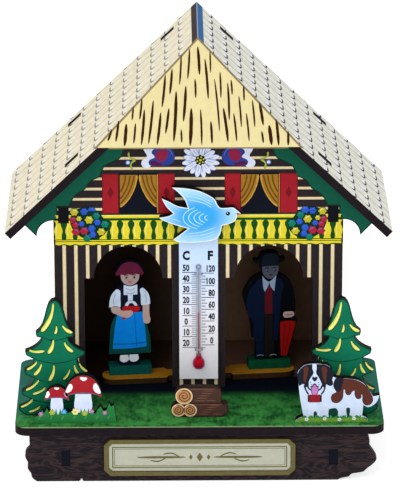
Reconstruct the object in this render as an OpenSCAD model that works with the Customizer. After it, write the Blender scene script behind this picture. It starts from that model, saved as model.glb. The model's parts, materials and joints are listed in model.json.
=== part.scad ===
// Weather house: a sheet-built chalet with a figure beam that turns on a gut string.
// Millimetres, +Z up, origin at the middle of the footprint, on the table.
// The pieces are drawn in the house frame: x right, y back from the front wall's face,
// z up from the top of the ground plate. place() moves that frame onto the base.

/* [Sheet] */
// Thickness of every cut sheet
sheet_t = 3.2; // [2.6:0.1:3.8]
// Clearance on each side of a tab in its slot
fit_gap = 0.1; // [0.05:0.05:0.2]
// How far a tab's end stays below the far face
tab_recess = 0.2; // [0.1:0.1:0.4]
// Length of the tabs that go through the roof
roof_tab_len = 6.2; // [4:0.2:8]
// Length of the tabs that stand in the ground plate
foot_tab_len = 8; // [5:0.5:9]
// Length of the tabs on the side walls and base rails
side_tab_len = 6.4; // [4:0.2:8]

/* [House] */
// Width of the front and back walls
wall_w = 112; // [108:1:116]
// Depth from the front wall's face to the back wall's back
house_d = 53.3; // [48:0.5:60]
// Distance from the wall's side edge to the side wall
side_wall_inset = 2.4; // [1.5:0.1:3]
// Height of the middle of the upper side tabs
side_tab_z = 71.6; // [66:0.2:74]
// Height of the middle of the lower side tabs
side_tab_low_z = 20; // [14:1:30]
// Width of the post between the doors
post_w = 20.7; // [18:0.1:24]
// Width of a door below its arch
door_w = 34; // [32:0.5:36]
// Height at which a door's arch springs
door_spring_z = 45.8; // [44:0.2:48]
// Radius of a door's arch
arch_r = 13.3; // [11:0.1:15]

/* [Roof] */
// Width over both eaves
roof_w = 148.6; // [146:0.2:156]
// Height of the eave's upper edge
eave_z = 69.3; // [66:0.1:72]
// Height where the two roof tops meet
ridge_z = 140.4; // [136:0.2:146]
// Overhang in front of the front wall
roof_front = 13.4; // [10:0.2:16]
// Overhang behind the back wall
roof_rear = 5; // [3:0.5:8]
// Width of the half hip at its foot
hip_w = 76.8; // [70:0.2:84]
// Depth from the roof's front to the tip of the half hip
hip_setback = 19.5; // [17:0.5:22]
// Distance from the ridge to the lower roof tabs
roof_tab_x = 48.7; // [44:0.1:52]
// Distance from the ridge to the upper roof tabs
ridge_tab_x = 11.7; // [10:0.1:16]
// Radius cut under the bargeboard's ear
ear_r = 6.6; // [5:0.2:8]
// Height of the ear's lower tip
ear_z = 63.2; // [61:0.2:66]

/* [Ground plate] */
// Width of the yard
yard_w = 141.4; // [138:0.2:146]
// Depth of the yard in front of the front wall
yard_front = 40.6; // [38:0.2:46]
// Reach of the wide yard behind the front wall's face
yard_back = 30.4; // [26:0.2:36]
// Radius of the yard's corners
yard_r = 5; // [3:0.5:8]
// How far the plate's narrower rear reaches beside the house
rear_side = 3; // [2:0.5:6]
// How far the plate reaches behind the back wall
rear_lip = 2; // [1:0.5:3]

/* [Base] */
// Height of the base boards
base_h = 20.5; // [18:0.5:26]
// Length of the log-shaped front board
board_w = 135; // [130:0.2:138]
// Length of the back board
back_board_w = 114; // [112:1:118]
// Distance from the yard's front edge to the front board
board_setback = 3.6; // [2:0.2:5]
// Distance from the middle to each base rail
rail_x = 51.4; // [46:0.2:53]
// Height of the base rails
rail_h = 17; // [14:0.5:17.5]
// Height of the middle of the rail tabs above the table
rail_tab_z = 9.6; // [8:0.2:11]
// Width of the name plate
plate_w = 73.4; // [60:0.2:84]
// Height of the name plate
plate_h = 15; // [12:0.2:16]
// Width of the name plate's frame
plate_rim = 1.7; // [1.2:0.1:2.5]
// Size of the name plate's cut corners
plate_cut = 2.4; // [1.5:0.1:3.5]
// Thickness of the name plate's frame
plate_rim_t = 1.6; // [1.2:0.1:2]
// Thickness of the name plate's panel
plate_panel_t = 1; // [0.6:0.1:1.2]

/* [Yard pieces] */
// Height of the fir trees
tree_h = 47.6; // [42:0.2:54]
// Distance from the middle to the left tree
tree_left_x = 55.2; // [54:0.1:55.6]
// Distance from the middle to the right tree
tree_right_x = 54.5; // [54:0.1:55.6]
// Distance of the trees' faces in front of the wall
tree_y = 28; // [24:0.5:29]
// Width of the mushrooms' grass strip
mushroom_w = 31.6; // [28:0.2:34]
// Distance from the middle to the grass strip's middle
mushroom_x = 47.6; // [46:0.2:50]
// Length of the dog
dog_w = 32; // [28:0.2:33]
// Distance from the middle to the dog's middle
dog_x = 52.6; // [50:0.2:53]
// Distance of the mushrooms' and the dog's faces in front of the wall
front_row_y = 35.5; // [34.5:0.2:36.5]
// Width of the log pile
logs_w = 22; // [18:0.2:26]
// Distance of the log pile's face in front of the wall
logs_y = 30.4; // [24:0.2:34]

/* [Thermometer] */
// Width of the scale card
card_w = 15.1; // [13:0.1:17]
// Height of the scale card
card_h = 60; // [56:0.5:62]
// Height of the card's lower edge
card_z = 4.1; // [3:0.1:5]
// Thickness of the card
card_t = 1.5; // [1:0.1:2]
// Outer diameter of the glass tube
tube_d = 2; // [1.6:0.1:2.4]
// Diameter of the tube's fine bore
tube_bore = 0.7; // [0.5:0.1:0.8]
// Outer diameter of the bulb
bulb_d = 4.2; // [3.8:0.1:4.6]
// Thickness of the bulb's glass
bulb_wall = 0.5; // [0.4:0.1:0.6]
// Height of the bulb's middle
bulb_z = 11.2; // [10:0.2:12]
// Height of the tube's upper end
tube_z = 51.7; // [48:0.2:53]
// Height of the top of the red column
column_z = 32.2; // [24:0.2:44]
// Diameter of the wire clips that hold the tube
clip_d = 0.5; // [0.4:0.1:0.6]
// Distance from the bulb's middle up to the lower wire clip
clip_low_rise = 6; // [5:0.2:8]
// Distance from the tube's upper end down to the upper wire clip
clip_high_drop = 3.7; // [3.5:0.1:8]

/* [Bird] */
// Length of the bird from tail to beak
bird_w = 31.4; // [28:0.2:33]
// Height of the bird's middle
bird_z = 73; // [72:0.2:76]
// Diameter of the spacer behind the bird
bird_spacer_d = 8; // [5:0.5:9]
// Gap from the card's top to the spacer
bird_spacer_gap = 1; // [0.5:0.1:2]

/* [Figure beam] */
// Length of the beam
beam_len = 76; // [72:0.5:78]
// Width of the beam where the figures stand
beam_w = 10.4; // [9.6:0.1:11]
// Thickness of the beam
beam_t = 2.2; // [1.8:0.1:3.2]
// Width of the beam's waist behind the post
beam_waist = 6.4; // [6:0.1:7]
// Half length of the waist
beam_waist_x = 12.2; // [12:0.1:14]
// Length over which the beam widens
beam_blend = 1; // [0.8:0.1:5]
// Radius of the beam's corners
beam_corner_r = 4.4; // [1.5:0.1:4.6]
// Gap from the post's back to the beam when it lies square
post_gap = 2; // [1.8:0.1:4]
// Gap from the ground plate to the beam
beam_gap = 0.4; // [0.3:0.1:0.8]
// Turn of the beam in the rest pose, woman's end to the front
beam_turn = 6; // [2:0.5:8]
// Diameter of the hub peg in the beam
hub_d = 4; // [3.4:0.2:4.6]
// Height of the hub peg's top
hub_z = 22; // [18:0.5:28]
// Diameter of the gut string
gut_d = 1.2; // [0.8:0.1:1.6]
// Depth of the gut string's seat at each end
gut_seat = 4; // [3:0.5:5]
// Diameter of the guide pin in the ground plate
pin_d = 1.6; // [1.2:0.1:2]
// Height of the guide pin above the ground plate
pin_h = 8; // [6:0.5:12]
// Distance from the woman's end of the beam to her middle
woman_end = 11; // [9:0.1:12]
// Distance from the man's end of the beam to his middle
man_end = 9.8; // [9:0.1:12]
// Width of a figure's stand
stand_w = 16.6; // [16:0.2:17.6]
// Depth of a figure's stand
stand_d = 6; // [5:0.2:7]
// Height of a figure's stand
stand_h = 3.8; // [3.4:0.1:5]
// Length of a figure's tab in its stand
stand_tab_len = 6; // [4:0.2:7]
// Depth of a figure's tab in its stand
stand_slot = 2.4; // [1.5:0.1:3]
// Height of the woman
woman_h = 44; // [40:0.5:45]
// Height of the man
man_h = 45; // [40:0.5:46]

/* [Adjuster] */
// Distance from the ridge down to the bridge's underside
bridge_drop = 33.4; // [32.4:0.2:36]
// Width of the bridge
bridge_w = 28; // [24:0.5:32]
// Length of the bridge's tabs
bridge_tab_len = 10; // [8:0.5:12]
// Gap from the front wall's back to the adjusting knob
knob_wall_gap = 0.7; // [0.4:0.1:1.2]
// Height of the knob's head
knob_h = 8; // [6:0.2:9]
// Number of flutes round the knob's head
knob_flutes = 16; // [10:1:20]
// Diameter of the flutes
flute_d = 1.6; // [1:0.1:2]
// Diameter of the knob's stem
stem_d = 6; // [5:0.1:7]
// Length of the stem below the bridge
stem_below = 9; // [7:0.2:12]
// Diameter of the collar on the stem
collar_d = 10; // [9:0.2:12]
// Height of the collar
collar_h = 3; // [2:0.2:4]
// Width of the knob's door in the back wall
knob_door_w = 18; // [14:0.2:18]
// Height of the straight part of the knob's door
knob_door_h = 3; // [2:0.2:3.4]
// Wall left between the bridge's tab and the knob's door
knob_door_sill = 2.8; // [2:0.1:3]
// Radial clearance of a turning fit
run_gap = 0.05; // [0.02:0.01:0.09]
// Clearance between faces that turn past each other
clear_gap = 0.3; // [0.2:0.05:0.4]

/* [Hidden] */
$fn = 64;
big = 400;
wall_half = wall_w / 2;
roof_half = roof_w / 2;
roof_slope = atan((ridge_z - eave_z) / roof_half);
hip_foot_z = ridge_z - hip_w / 2 * tan(roof_slope);
hip_slope = atan((ridge_z - hip_foot_z) / hip_setback);
hip_foot = [-roof_front, hip_foot_z];
hip_foot_under = hip_foot + sheet_t * [sin(hip_slope), -cos(hip_slope)];
roof_back_y = house_d + roof_rear;
back_wall_y = house_d - sheet_t;
side_x = wall_half - side_wall_inset - sheet_t / 2;
side_wall_h = wall_top(side_x + sheet_t / 2);
plate_back_y = house_d + rear_lip;
rear_w = wall_w + 2 * rear_side;
board_y = -yard_front + board_setback;
ground_z = base_h + sheet_t;
house_y = (yard_front - roof_back_y) / 2;
door_x = post_w / 2 + door_w / 2;
jamb_x = (post_w / 2 + door_w + wall_half) / 2;
tab_depth = sheet_t - tab_recess;
tab_root = 1;
pivot_y = sheet_t + post_gap + beam_w / 2;
knob_d = 2 * (pivot_y - sheet_t - knob_wall_gap);
beam_top = beam_gap + beam_t;
stand_top = beam_top + stand_h;
stand_y = (beam_w - stand_d) / 2;
woman_x = woman_end - beam_len / 2;
man_x = beam_len / 2 - man_end;
bridge_z = ridge_z - bridge_drop;
stem_z = bridge_z - stem_below;
knob_z = bridge_z + sheet_t + clear_gap;
knob_door_z = bridge_z + sheet_t + knob_door_sill;
knob_door_r = knob_door_w / 2;
tube_y = -card_t - tube_d / 2;
clip_low_z = bulb_z + clip_low_rise;
clip_high_z = tube_z - clip_high_drop;
spacer_z = card_z + card_h + bird_spacer_gap + bird_spacer_d / 2;
bird_y = -card_t;
curve_steps = 5;

// Hand-drawn outlines: [x, z] in millimetres at the nominal size, a third value marks a corner
fir_top = [0, 48];
fir_falls = [[13, -1], [1.5, -6], [1.5, -6], [1.5, -5], [1.5, -4]];
fir_sweeps = [[14, -8], [12, -4], [11, -4], [11, -4], [11, -4]];
fir_lip = [-0.4, -1.6];
fir_steps = 8;
fir_tips = [[7.4, 34.4], [11.6, 26.8], [12, 18.8], [13.2, 10.2], [14.4, 3.4]];
fir_notches = [[5, 32.4], [8.4, 23.6], [8.4, 15.8], [9.8, 7], [11, 0]];
bird_outline = [[-10.2, 11.6, 1], [-5, 11.2], [0, 10.2], [4, 8.3], [6.3, 6.6], [7.3, 4.4], [8.6, 3.2],
    [11, 3.2], [13.3, 3.3], [14.7, 2.3], [16.3, 0.9, 1], [14.8, 0.2, 1], [14.3, -1.8], [12.6, -3],
    [9, -4.1, 1], [8.6, -6.4], [7.4, -9], [4.4, -10.3], [-1.5, -10.9], [-7.6, -10.7], [-9.7, -9.6, 1],
    [-6.9, -7.5], [-4, -5.2, 1], [-8.9, -3.7], [-13.6, -1.8], [-15.1, -0.7, 1], [-11.6, -0.1],
    [-9.6, 1, 1], [-12.2, 3.6], [-14.1, 7.1, 1], [-11.3, 5.8], [-8, 4], [-4, 3.2, 1], [-5.5, 7], [-8, 9.8]];
dog_outline = [[-15.6, 0, 1], [-15.2, 1], [-12.6, 2.2, 1], [-13.6, 7.2], [-14.2, 11.4], [-14.6, 15],
    [-15, 19.7], [-14, 21.6], [-12.2, 23.1], [-8.8, 23.6], [-4.2, 23.1], [-2.1, 21.3], [-1.7, 18.4, 1],
    [0, 17.7], [4.4, 17.5], [8, 16.7], [10.4, 15], [12.6, 11.8], [13.6, 10.2, 1], [16, 10.6, 1], [14.8, 7.6],
    [12, 5.8], [10, 6.8, 1], [9.6, 2.4, 1], [11.4, 1.4], [11.8, 0, 1]];
dog_gap = [[-3.2, 2.6], [-3, 5.2], [-0.4, 5.3], [0.4, 2.6]];
grass_outline = [[-15.8, 0], [-15.4, 2.6], [-13.4, 3.6], [-12.6, 5.4], [-12, 4], [-10.8, 6], [-10, 4.2],
    [-8, 4.6], [-6, 3.8], [-3.4, 4], [-1.4, 4.6], [1, 4], [3.4, 5.2], [5.2, 4], [7.8, 3.8], [8.6, 5.6],
    [9.8, 6.8], [10.8, 4.8], [12, 5.2], [13, 8], [13.8, 6.6], [14.8, 7.2], [15.8, 0]];
small_mushroom = [-7, 4.7, 9.6, 5.4, 2.3];
big_mushroom = [3.1, 7, 11, 8.6, 3.2];
rim_turn = 5;
cap_hollow = 0.22;
gill_steps = 10;
stem_foot = 1.2;
log_ends = [[-8.1, 2.9, 2.9], [-3.6, 2.9, 2.9], [-5.9, 8.7, 3.6]];
lower_logs = [[-8.1, 0, 1], [8.6, 0, 1], [10.9, 1.8], [10.9, 4], [8.8, 6], [-8.1, 5.8, 1]];
upper_log = [[-5.9, 5, 1], [8.4, 5.4, 1], [8.6, 8], [8, 11.4], [5.6, 12.3], [-5.9, 12.3, 1]];
logs_nominal_w = 22;
woman_outline = [[0.2, 44], [3.4, 43], [5.2, 40.4], [5.7, 38.4, 1], [4.2, 37.4], [3, 33.6, 1], [4.8, 32.9],
    [7.4, 29.6], [8.3, 26, 1], [8.1, 23], [8.3, 19.4], [7, 18, 1], [8.3, 5.1, 1], [3.6, 5, 1], [3.6, 2.2],
    [4.2, 0, 1], [-4.4, 0, 1], [-4.1, 2.2], [-4.1, 5, 1], [-8.2, 5.1, 1], [-6.6, 18.5], [-6, 21.6, 1],
    [-7.6, 24], [-8.3, 26, 1], [-7, 30], [-4.6, 32.9], [-3, 33.6, 1], [-4.2, 37.4], [-5.6, 38.4, 1],
    [-4.9, 40.6], [-3, 43]];
man_outline = [[0.4, 45], [3.4, 44], [4.2, 41.8, 1], [6, 42.2], [5.8, 41], [3.8, 40, 1], [3.6, 38],
    [2.6, 36, 1], [6.4, 34], [9.4, 29.6], [10.4, 22], [10, 18.6], [11, 16.2, 1], [9.6, 9], [7.2, 1, 1],
    [6.4, 1, 1], [5.2, 4, 1], [5, 0, 1], [-5.6, 0, 1], [-5.4, 8.6, 1], [-6.9, 9.4, 1], [-7.8, 17], [-9.4, 22],
    [-10.4, 27.2], [-8.6, 31.4], [-6.6, 34], [-2.8, 36, 1], [-3.7, 38], [-3.8, 40, 1], [-6, 40.6],
    [-6.2, 41.6], [-4.2, 41.8, 1], [-3.2, 44.2]];
board_left = [[-65.4, 0, 1], [-65.2, -6.4, 1], [-66.7, -8], [-67, -10.2], [-66, -12.4, 1], [-66.1, -15],
    [-64.9, -17, 1], [-64.4, -19], [-62.6, -20.5, 1], [-46.4, -20.5, 1], [-45.4, -19.2, 1],
    [-44.8, -20.5, 1]];
board_right = [[53.1, -20.5, 1], [54.4, -19.8], [57.4, -19.2, 1], [58.6, -18], [61, -17.6], [63.2, -17.1, 1],
    [64.4, -15.8], [67, -13.6], [68, -11.8], [67.4, -10], [65, -6.4, 1], [65.2, -4], [63.8, 0, 1]];

// Heights of the roof's faces and of the half hip's underside
function roof_top(x) = ridge_z - abs(x) * tan(roof_slope);
function roof_under(x) = roof_top(x) - sheet_t / cos(roof_slope);
function wall_top(x) = roof_under(x) - fit_gap / cos(roof_slope);
function hip_top(y) = hip_foot_z + (y + roof_front) * tan(hip_slope);
function hip_under(y) = hip_top(y) - sheet_t / cos(hip_slope);
function gable_cut(limit_z) = (wall_top(0) - limit_z) / tan(roof_slope);

// Points on an arc, and a smooth closed line through hand-drawn points
function arc(cx, cz, r, from, to, steps) =
    [for (i = [0:steps]) [cx + r * cos(from + (to - from) * i / steps),
        cz + r * sin(from + (to - from) * i / steps)]];
function xy(q) = [q[0], q[1]];
function at(p, i) = p[(i + len(p)) % len(p)];
function corner(p, i) = len(at(p, i)) > 2;
function lean(p, i) = corner(p, i) ? [0, 0] : (xy(at(p, i + 1)) - xy(at(p, i - 1))) / 2;
function along(a, b, la, lb, s) = a * (2 * s ^ 3 - 3 * s ^ 2 + 1) + la * (s ^ 3 - 2 * s ^ 2 + s)
    + b * (3 * s ^ 2 - 2 * s ^ 3) + lb * (s ^ 3 - s ^ 2);
function smooth(p) = [for (i = [0:len(p) - 1])
    for (k = [0:(corner(p, i) && corner(p, i + 1)) ? 0 : curve_steps - 1])
        along(xy(at(p, i)), xy(at(p, i + 1)), lean(p, i), lean(p, i + 1), k / curve_steps)];
function top_of(p) = max([for (q = p) q[1]]);
function depth_of(p) = -min([for (q = p) q[1]]);
function width_of(p) = max([for (q = p) q[0]]) - min([for (q = p) q[0]]);

// The house frame on its base
module place() {
    translate([0, house_y, ground_z]) children();
}

// The beam's frame, turned to its rest pose about the hub
module on_beam() {
    place() translate([0, pivot_y, 0]) rotate([0, 0, beam_turn]) children();
}

// An upright sheet whose front face is at y
module upright(y, t = sheet_t) {
    translate([0, y + t, 0]) rotate([90, 0, 0])
        for (i = [0:$children - 1]) linear_extrude(t) children(i);
}

// A tab on an upright sheet's foot, and the slot it stands in
module foot_tab(x, len = foot_tab_len) {
    translate([x - len / 2, -tab_depth]) square([len, tab_depth + tab_root]);
}
module foot_slot(x, y, len = foot_tab_len) {
    translate([x - len / 2 - fit_gap, y - fit_gap, -big / 2])
        cube([len + 2 * fit_gap, sheet_t + 2 * fit_gap, big]);
}

// A tab that goes square through the roof, and its slot
module roof_tab(x) {
    translate([x, roof_top(x)]) rotate(-roof_slope)
        translate([-roof_tab_len / 2, -2 * sheet_t]) square([roof_tab_len, 2 * sheet_t - tab_recess]);
}
module roof_slot(x, y) {
    translate([x, y - fit_gap, roof_top(x)]) rotate([0, roof_slope, 0])
        translate([-roof_tab_len / 2 - fit_gap, 0, -2 * sheet_t])
            cube([roof_tab_len + 2 * fit_gap, sheet_t + 2 * fit_gap, 3 * sheet_t]);
}

// Slots in a wall for the tabs of the side walls and of the bridge
module wall_slots() {
    for (side = [-1, 1], z = [side_tab_low_z, side_tab_z])
        translate([side * side_x - sheet_t / 2 - fit_gap, z - side_tab_len / 2 - fit_gap])
            square([sheet_t + 2 * fit_gap, side_tab_len + 2 * fit_gap]);
    translate([-bridge_tab_len / 2 - fit_gap, bridge_z - fit_gap])
        square([bridge_tab_len + 2 * fit_gap, sheet_t + 2 * fit_gap]);
}

// Wall outline under the roof, cut level at limit_z
module gable(limit_z) {
    polygon([[-wall_half, 0], [wall_half, 0], [wall_half, wall_top(wall_half)],
        [gable_cut(limit_z), limit_z], [-gable_cut(limit_z), limit_z], [-wall_half, wall_top(wall_half)]]);
}

// Bargeboard ear beside the wall's upper edge
module ear() {
    tip_x = wall_half + ear_r;
    reach = (wall_top(tip_x) - ear_z) * cos(roof_slope);
    foot = [tip_x + reach * sin(roof_slope), ear_z + reach * cos(roof_slope)];
    polygon(concat(arc(wall_half, ear_z, ear_r, 90, 0, 12), [foot],
        [[wall_half - 1, wall_top(wall_half - 1)], [wall_half - 1, ear_z + ear_r]]));
}

// Door opening with its arch above two small ledges
module door() {
    translate([-door_w / 2, -big]) square([door_w, big + door_spring_z]);
    translate([0, door_spring_z]) circle(arch_r);
}

module front_wall() {
    color("#3a3338") place() upright(0) difference() {
        union() {
            gable(hip_under(0) - fit_gap / cos(hip_slope));
            for (side = [0, 1]) mirror([side, 0]) {
                ear();
                roof_tab(roof_tab_x);
                foot_tab(jamb_x);
            }
            foot_tab(0);
        }
        for (side = [-1, 1]) translate([side * door_x, 0]) door();
        wall_slots();
    }
}

module back_wall() {
    color("#4a3a30") place() upright(back_wall_y) difference() {
        union() {
            gable(wall_top(0) - sheet_t);
            for (side = [0, 1]) mirror([side, 0]) {
                roof_tab(roof_tab_x);
                roof_tab(ridge_tab_x);
                foot_tab(jamb_x);
            }
            foot_tab(0);
        }
        wall_slots();
        translate([-knob_door_r, knob_door_z]) square([knob_door_w, knob_door_h]);
        translate([0, knob_door_z + knob_door_h]) circle(knob_door_r);
    }
}

module side_wall(side) {
    inner_d = back_wall_y - sheet_t - 2 * fit_gap;
    color("#4a3a30") place() translate([side * side_x - sheet_t / 2, 0, 0]) {
        translate([0, sheet_t + fit_gap, 0]) cube([sheet_t, inner_d, side_wall_h]);
        for (z = [side_tab_low_z, side_tab_z])
            translate([0, tab_recess, z - side_tab_len / 2])
                cube([sheet_t, house_d - 2 * tab_recess, side_tab_len]);
        translate([0, house_d / 2 - foot_tab_len / 2, -tab_depth])
            cube([sheet_t, foot_tab_len, tab_depth + tab_root]);
    }
}

// A section in the y-z plane, drawn right across the house
module across() {
    translate([-big / 2, 0, 0]) rotate([90, 0, 90]) linear_extrude(big) children();
}

// Everything that lies above the half hip's underside and foot
module above_hip() {
    drop = [0, fit_gap / cos(hip_slope)];
    front_y = -roof_front - 1;
    across() polygon([[front_y, hip_foot_z] - drop, hip_foot - drop, hip_foot_under - drop,
        [house_d, hip_under(house_d)] - drop, [house_d, big], [front_y, big]]);
}

// One roof panel, square cut at the eave and at the ridge
module roof_panel() {
    edge = sheet_t * tan(roof_slope) + fit_gap;
    drop = [-sheet_t * sin(roof_slope), -sheet_t * cos(roof_slope)];
    inner = [edge * cos(roof_slope), ridge_z - edge * sin(roof_slope)];
    outer = [roof_half, eave_z];
    place() difference() {
        upright(-roof_front, roof_back_y + roof_front)
            polygon([inner, outer, outer + drop, inner + drop]);
        above_hip();
        roof_slot(roof_tab_x, 0);
        roof_slot(roof_tab_x, back_wall_y);
        roof_slot(ridge_tab_x, back_wall_y);
    }
}

module hip_panel() {
    tip = [hip_setback - roof_front, ridge_z];
    color("#f5e4a0") place() intersection() {
        across() polygon([hip_foot, hip_foot_under, tip + [sheet_t / sin(hip_slope), 0], tip]);
        upright(-roof_front - big / 4, big)
            polygon([[0, ridge_z], [big, roof_top(big)], [-big, roof_top(big)]]);
    }
}

module ridge_bar() {
    edge = sheet_t * tan(roof_slope);
    side = [edge * cos(roof_slope), ridge_z - edge * sin(roof_slope)];
    color("#1e3a5c") place() difference() {
        upright(-roof_front, roof_back_y + roof_front)
            polygon([[0, ridge_z], side, [0, ridge_z - sheet_t / cos(roof_slope)], [-side[0], side[1]]]);
        above_hip();
    }
}

module knob_bridge() {
    inner_d = back_wall_y - sheet_t - 2 * fit_gap;
    color("#c9a26a") place() difference() {
        union() {
            translate([-bridge_w / 2, sheet_t + fit_gap, bridge_z]) cube([bridge_w, inner_d, sheet_t]);
            translate([-bridge_tab_len / 2, tab_recess, bridge_z])
                cube([bridge_tab_len, house_d - 2 * tab_recess, sheet_t]);
        }
        translate([0, pivot_y, bridge_z - 1]) cylinder(d = stem_d + 2 * run_gap, h = sheet_t + 2);
    }
}

module ground_plate() {
    color("#2e7a2a") place() translate([0, 0, -sheet_t]) difference() {
        linear_extrude(sheet_t) {
            yard();
            translate([-rear_w / 2, 0]) square([rear_w, plate_back_y]);
        }
        for (side = [-1, 1]) {
            foot_slot(side * jamb_x, 0);
            foot_slot(side * jamb_x, back_wall_y);
            translate([side * side_x - sheet_t / 2 - fit_gap, house_d / 2 - foot_tab_len / 2 - fit_gap, -1])
                cube([sheet_t + 2 * fit_gap, foot_tab_len + 2 * fit_gap, sheet_t + 2]);
        }
        for (y = [0, back_wall_y]) foot_slot(0, y);
        foot_slot(-tree_left_x, -tree_y);
        foot_slot(tree_right_x, -tree_y);
        foot_slot(-mushroom_x, -front_row_y);
        foot_slot(dog_x, -front_row_y);
        foot_slot(0, -logs_y);
        translate([0, pivot_y, -1]) cylinder(d = pin_d, h = sheet_t + 2);
    }
}

// The wide front of the ground plate with round corners
module yard() {
    in_x = yard_w / 2 - yard_r;
    low_y = -yard_front + yard_r;
    high_y = yard_back - yard_r;
    polygon(concat(arc(in_x, high_y, yard_r, 0, 90, 8), arc(-in_x, high_y, yard_r, 90, 180, 8),
        arc(-in_x, low_y, yard_r, 180, 270, 8), arc(in_x, low_y, yard_r, 270, 360, 8)));
}

// Log-shaped board outline, hung from the plate's underside
module log_outline() {
    outline = concat(board_left, board_right);
    size = [board_w / width_of(outline), base_h / depth_of(outline)];
    polygon([for (q = smooth(outline)) [q[0] * size[0], q[1] * size[1]]]);
}

// Mortises for the base rails
module rail_mortises() {
    for (side = [-1, 1])
        translate([side * rail_x - sheet_t / 2 - fit_gap, rail_tab_z - base_h - side_tab_len / 2 - fit_gap])
            square([sheet_t + 2 * fit_gap, side_tab_len + 2 * fit_gap]);
}

module base_front_board() {
    color("#4a2e26") place() translate([0, 0, -sheet_t]) upright(board_y) difference() {
        log_outline();
        rail_mortises();
    }
}

module base_back_board() {
    color("#4a2e26") place() translate([0, 0, -sheet_t]) upright(back_wall_y) difference() {
        translate([-back_board_w / 2, -base_h]) square([back_board_w, base_h]);
        rail_mortises();
    }
}

module base_rail(side) {
    front_y = board_y + sheet_t + fit_gap;
    color("#4a2e26") place() translate([side * rail_x - sheet_t / 2, 0, -sheet_t - base_h]) {
        translate([0, front_y, base_h - rail_h])
            cube([sheet_t, back_wall_y - fit_gap - front_y, rail_h]);
        translate([0, board_y + tab_recess, rail_tab_z - side_tab_len / 2])
            cube([sheet_t, house_d - board_y - 2 * tab_recess, side_tab_len]);
    }
}

// Name plate outline with cut corners
module plate_outline(inset) {
    half_w = plate_w / 2 - inset;
    half_h = plate_h / 2 - inset;
    cut = plate_cut - inset * (2 - sqrt(2));
    polygon([[half_w - cut, -half_h], [half_w, cut - half_h], [half_w, half_h - cut], [half_w - cut, half_h],
        [cut - half_w, half_h], [-half_w, half_h - cut], [-half_w, cut - half_h], [cut - half_w, -half_h]]);
}

module on_board() {
    place() translate([0, 0, -sheet_t - base_h / 2]) children();
}

module name_plate_frame() {
    color("#7a6a35") on_board() upright(board_y - plate_rim_t, plate_rim_t) difference() {
        plate_outline(0);
        plate_outline(plate_rim);
    }
}

module name_plate_panel() {
    color("#d8d4b8") on_board() upright(board_y - plate_panel_t, plate_panel_t)
        plate_outline(plate_rim + fit_gap);
}

module thermometer_card() {
    color("#dde4f0") place() upright(-card_t, card_t) difference() {
        translate([-card_w / 2, card_z]) square([card_w, card_h]);
        translate([0, bulb_z]) circle(d = bulb_d + 4 * fit_gap);
        for (side = [-1, 1], z = [clip_low_z, clip_high_z])
            translate([side * (tube_d + clip_d) / 2, z]) circle(d = clip_d + fit_gap);
    }
}

// Turned about the tube's axis
module on_tube() {
    place() translate([0, tube_y, 0]) rotate_extrude() children();
}

// Right half of a thermometer's section: a bulb that runs into a tube
module tube_half(r, bulb_r, top_z) {
    polygon(concat(arc(0, bulb_z, bulb_r, -90, acos(r / bulb_r), 20), [[r, top_z], [0, top_z]]));
}

module thermometer_glass() {
    color([0.8, 0.9, 1, 0.35]) on_tube() difference() {
        tube_half(tube_d / 2, bulb_d / 2, tube_z);
        tube_half(tube_bore / 2, bulb_d / 2 - bulb_wall, tube_z - tube_d / 2);
    }
}

module thermometer_liquid() {
    color("#c2102a") on_tube()
        tube_half(tube_bore / 2 - run_gap, bulb_d / 2 - bulb_wall - run_gap, column_z);
}

// A wire staple that holds the tube on the card
module clip(z) {
    reach = tube_d + card_t;
    half = (tube_d + clip_d) / 2;
    color("silver") place() translate([0, 0, z]) {
        for (side = [-1, 1]) translate([side * half, 0, 0]) rotate([90, 0, 0])
            cylinder(d = clip_d, h = reach + clip_d);
        translate([-half, -reach - clip_d / 2, 0]) rotate([0, 90, 0]) cylinder(d = clip_d, h = 2 * half);
    }
}

module bird() {
    color("#5bc4ff") place() upright(bird_y - sheet_t)
        translate([0, bird_z]) polygon(smooth(bird_outline) * (bird_w / width_of(bird_outline)));
}

module bird_spacer() {
    color("#c9a26a") place() translate([0, bird_y, spacer_z]) rotate([-90, 0, 0])
        cylinder(d = bird_spacer_d, h = card_t);
}

// Fir outline: tiers that fall from the top, sweep out to a tip and turn back to a notch
function fir_tier(i) =
    let (from = i == 0 ? fir_top : fir_notches[i - 1], to = fir_tips[i])
        concat([for (k = [0:fir_steps - 1]) along(from, to, fir_falls[i], fir_sweeps[i], k / fir_steps)],
            [to, to + fir_lip, fir_notches[i]]);

module fir_outline() {
    half = [for (i = [0:len(fir_tips) - 1]) each fir_tier(i)] * (tree_h / fir_top[1]);
    polygon(concat(half, [for (i = [len(half) - 1:-1:1]) [-half[i][0], half[i][1]]]));
}

module tree(x) {
    color("#0a7050") place() translate([x, 0, 0]) upright(-tree_y) {
        fir_outline();
        foot_tab(0);
    }
}

// Mushroom outline from [middle, cap radius, rim height, cap height, stem radius]
module mushroom(m) {
    dome = arc(0, 0, 1, -rim_turn, 180 + rim_turn, 16);
    gills = [for (k = [1:gill_steps - 1]) let (a = 180 - 180 * k / gill_steps)
        [m[1] * cos(rim_turn) * cos(a), m[3] * (cap_hollow * sin(a) - sin(rim_turn))]];
    translate([m[0], m[2]]) polygon(concat([for (q = dome) [m[1] * q[0], m[3] * q[1]]], gills));
    translate([m[0] - m[4], stem_foot]) square([2 * m[4], m[2]]);
}

module mushrooms() {
    size = mushroom_w / width_of(grass_outline);
    color("#b3232b") place() translate([-mushroom_x, 0, 0]) upright(-front_row_y) {
        scale(size) polygon(grass_outline);
        scale(size) mushroom(small_mushroom);
        scale(size) mushroom(big_mushroom);
        foot_tab(0);
    }
}

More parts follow.
